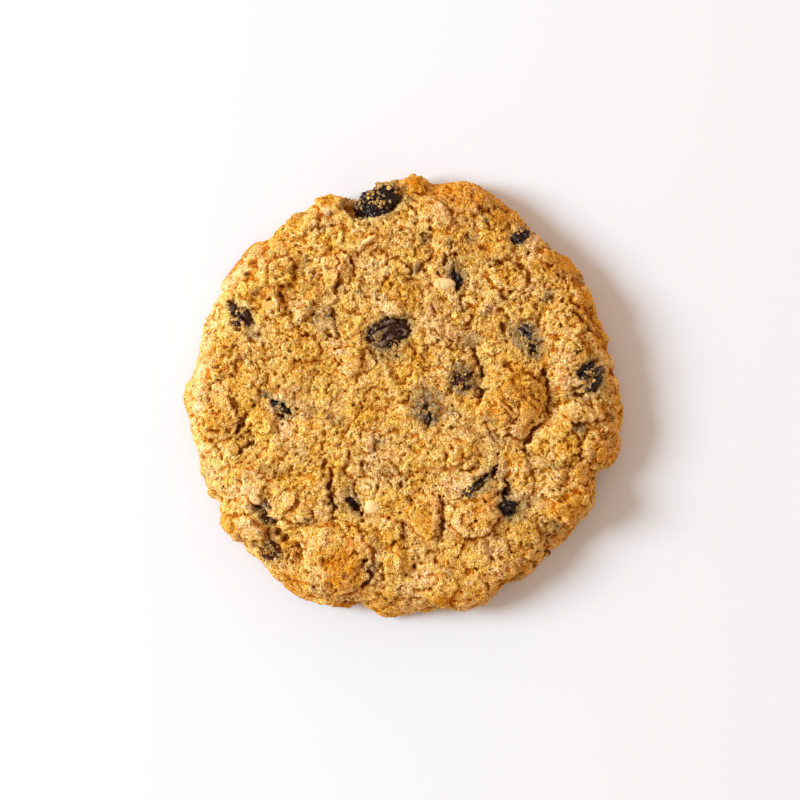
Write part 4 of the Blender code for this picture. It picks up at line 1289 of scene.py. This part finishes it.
def makeRaisinMaterial():
    material, tree, shader = newMaterial("raisinSkin", 0.5, 0.35)
    place = addNode(tree, "ShaderNodeTexCoord").outputs["Object"]
    crest = readAttribute(tree, "crest")
    patchy = speckle(tree, place, 0.6, 4.0, 0.7)[0]
    ridge = times(tree, remap(tree, crest, 0.0, 0.35), remap(tree, patchy, 0.42, 0.66))
    flesh = blendColour(tree, readAttribute(tree, "ruddy"), raisinLook["flesh"], raisinLook["ruddyFlesh"])
    colour = blendColour(tree, times(tree, ridge, 0.8), flesh, raisinLook["ridge"])
    blotches = blotchMask(tree, place, raisinLook["filmSize"], 0.30, 0.62, 4.0)
    film = add(tree, blotches, less(tree, readAttribute(tree, "dust"), 1.0))
    film = times(tree, remap(tree, film, 0.0, 0.5), remap(tree, crest, -0.4, 0.15))
    film = times(tree, film, remap(tree, patchy, 0.36, 0.6, 0.35, 1.0))
    colour = blendColour(tree, film, colour, raisinLook["film"])
    tree.links.new(colour, shader.inputs["Base Color"])
    tree.links.new(remap(tree, calc(tree, "MAXIMUM", times(tree, ridge, 0.5), film), 0.0, 1.0, 0.20, 0.75),
                   shader.inputs["Roughness"])
    shader.inputs["Specular Tint"].default_value = (1.0, 0.84, 0.74, 1.0)
    addBump(tree, shader, patchy, 0.9, 0.12 * mm)
    return material


def headingOf(mesh):
    # the direction of the mesh's greatest length, seen from above
    plan = meshPoints(mesh)[:, :2]
    _, ways = np.linalg.eigh(np.cov(plan.T))
    return math.atan2(ways[1, 1], ways[0, 1])


def makeRaisins():
    tree = raisinTree(makeRaisinMaterial())
    made = []
    for index, nodeName in enumerate(sorted(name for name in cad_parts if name.startswith("raisin"))):
        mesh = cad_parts[nodeName].data.copy()
        builder = bmesh.new()
        builder.from_mesh(mesh)
        bmesh.ops.remove_doubles(builder, verts=builder.verts, dist=0.005 * mm)
        builder.to_mesh(mesh)
        builder.free()
        values = {key: value for key, value in raisinLook.items() if isinstance(value, float)}
        values.update({"Seed": raisinLook["Seed"] + 3.0 * index, "Heading": headingOf(mesh),
                       "Dust": raisinLook["dust"][index], "Ruddy": raisinLook["ruddy"][index]})
        raisin = bakeTree("raisinFruit%02d" % (index + 1), mesh, tree, values)
        made.append(finishPiece(raisin, [nodeName]))
    return made


raisins = makeRaisins()


# lumps at listed places: dough stuck to raisins, nuggets of dough, kernels

stuckCrumb = {"Largest": 0.6, "Roughness": 1.3, "Seed": 2.0}
kernel = {"Largest": 3.0, "Roughness": 0.35, "Seed": 6.0}
nugget = {"Largest": 1.4, "Roughness": 0.9, "Seed": 4.0}

# Clusters of stuck crumbs: x, y, reach, how many, smallest and largest half length.
stuckCrumbs = [
    (-10.0, 40.8, 1.2, 24, 0.2, 0.4), (-7.4, 42.6, 1.6, 34, 0.2, 0.4), (-5.4, 41.2, 1.4, 26, 0.2, 0.4),
    (-8.4, 44.6, 1.0, 40, 0.3, 0.5), (-6.0, 45.0, 1.2, 60, 0.3, 0.55), (-3.2, 45.2, 1.4, 50, 0.3, 0.6),
    (-1.6, 43.6, 1.0, 20, 0.3, 0.5), (37.4, 3.2, 0.9, 30, 0.3, 0.6), (38.2, 5.3, 0.6, 8, 0.25, 0.45),
    (10.2, 27.6, 0.9, 8, 0.25, 0.45), (-28.8, -31.5, 1.0, 34, 0.25, 0.5), (24.6, 12.2, 1.0, 12, 0.2, 0.4),
    (-5.6, 12.8, 1.6, 30, 0.15, 0.35), (-2.2, 11.8, 1.0, 14, 0.15, 0.3), (23.6, 35.4, 0.8, 12, 0.25, 0.4),
    (-12.2, -19.6, 1.4, 12, 0.2, 0.35), (11.8, 4.2, 1.6, 22, 0.15, 0.35), (4.0, -2.6, 1.8, 22, 0.15, 0.35),
    (-26.6, -2.2, 1.0, 10, 0.2, 0.4), (-30.0, -23.4, 0.8, 8, 0.15, 0.35), (-34.6, 18.6, 0.7, 8, 0.2, 0.4),
]

# Nuggets and kernels: x, y, how far the middle stands over the dough, half length, width and height, heading.
nuggets = [
    (-40.8, -20.2, -0.6, 1.5, 0.9, 1.0, -30), (40.4, -17.3, -0.4, 1.2, 1.1, 1.0, 0),
    (37.2, -21.0, -0.4, 1.3, 0.9, 0.9, 50), (-25.4, 30.6, -0.3, 1.3, 1.0, 0.8, 20),
    (-22.4, -38.4, -1.6, 2.2, 1.1, 1.3, -35), (-18.6, -40.6, -1.6, 1.8, 1.0, 1.2, -25),
    (-3.0, -44.2, -1.8, 2.4, 1.1, 1.2, -4), (-30.6, -32.4, -1.4, 1.8, 1.0, 1.1, -42),
    (-37.8, 24.6, -1.6, 2.0, 0.9, 1.1, 58),
]
kernels = [
    (7.9, 23.9, 0.25, 2.3, 1.25, 0.9, -2), (-7.0, -22.3, -0.25, 1.9, 1.6, 0.8, 10),
    (-33.0, -18.6, -0.4, 1.6, 1.2, 0.7, 30), (-31.4, -20.9, -0.4, 1.3, 0.9, 0.6, -30),
    (-9.0, 32.4, -0.2, 2.7, 0.5, 0.5, 28),
]


def placeLumps(name, spots, look, kind, material):
    # spots: place, half sizes, heading and stain of each lump
    mesh = bpy.data.meshes.new(name + "Points")
    mesh.from_pydata([spot[0] for spot in spots], [], [])
    storeValues(mesh, "stain", [spot[3] for spot in spots])
    for layerName, vectors in (("half", [spot[1] for spot in spots]), ("turn", [spot[2] for spot in spots])):
        layer = mesh.attributes.new(layerName, "FLOAT_VECTOR", "POINT")
        layer.data.foreach_set("vector", np.array(vectors, np.float32).ravel())
    piece = bakeTree(name, mesh, placedTree(name + "Placed", look, kind, material), look)
    return finishPiece(piece)


def dropOnto(tree, x, y):
    # the point of the surface under a place on the cookie, in metres
    above = Vector(((x + outlineMiddle.x) * mm, (y + outlineMiddle.y) * mm, 30 * mm))
    return tree.ray_cast(above, Vector((0, 0, -1)))[0]


def stickCrumbs(tree):
    dice = np.random.default_rng(21)
    spots = []

    def stick(x, y, smallest, largest):
        hit = dropOnto(tree, x, y)
        if hit is not None:
            length = dice.uniform(smallest, largest)
            half = length * np.array((1.0, dice.uniform(0.6, 0.9), dice.uniform(0.4, 0.7)))
            turn = dice.uniform((-0.6, -0.6, 0.0), (0.6, 0.6, 6.3))
            spots.append((tuple(hit), half, turn, dice.uniform(0.2, 0.9)))

    for x, y, reach, count, smallest, largest in stuckCrumbs:
        for _ in range(count):
            stick(*(np.array((x, y)) + dice.normal(0.0, reach / 2, 2)), smallest, largest)
    for x, y, halfLength, halfWidth, heading, _ in openings:
        # a torn edge round each opening, but not inside its neighbours
        for _ in range(int(3 * (halfLength + halfWidth))):
            turn, around = math.radians(heading), dice.uniform(0.0, math.tau)
            away = dice.uniform(1.0, 1.25)
            along, across = halfLength * away * math.cos(around), halfWidth * away * math.sin(around)
            spot = (x + along * math.cos(turn) - across * math.sin(turn),
                    y + along * math.sin(turn) + across * math.cos(turn))
            plan = np.array([spot]) + np.array(outlineMiddle)
            if min(ellipseDistance(plan, *opening[:5])[0] for opening in openings) > 0.98:
                stick(*spot, 0.2, 0.5)
    placeLumps("stuckCrumbs", spots, stuckCrumb, "crumb", doughMaterial)


def placeAll(tree, name, entries, look, kind, material):
    spots = []
    for x, y, stand, *half, heading in entries:
        hit = dropOnto(tree, x, y)
        if hit is not None:
            middle = tuple(hit + Vector((0, 0, stand * mm)))
            spots.append((middle, half, (0.0, 0.0, math.radians(heading)), 0.0))
    placeLumps(name, spots, look, kind, material)


surface = surfaceTree([dough, *raisins])
stickCrumbs(surface)
placeAll(surface, "doughNuggets", nuggets, nugget, "kernel", doughMaterial)
placeAll(surface, "oatKernels", kernels, kernel, "kernel", makeKernelMaterial())
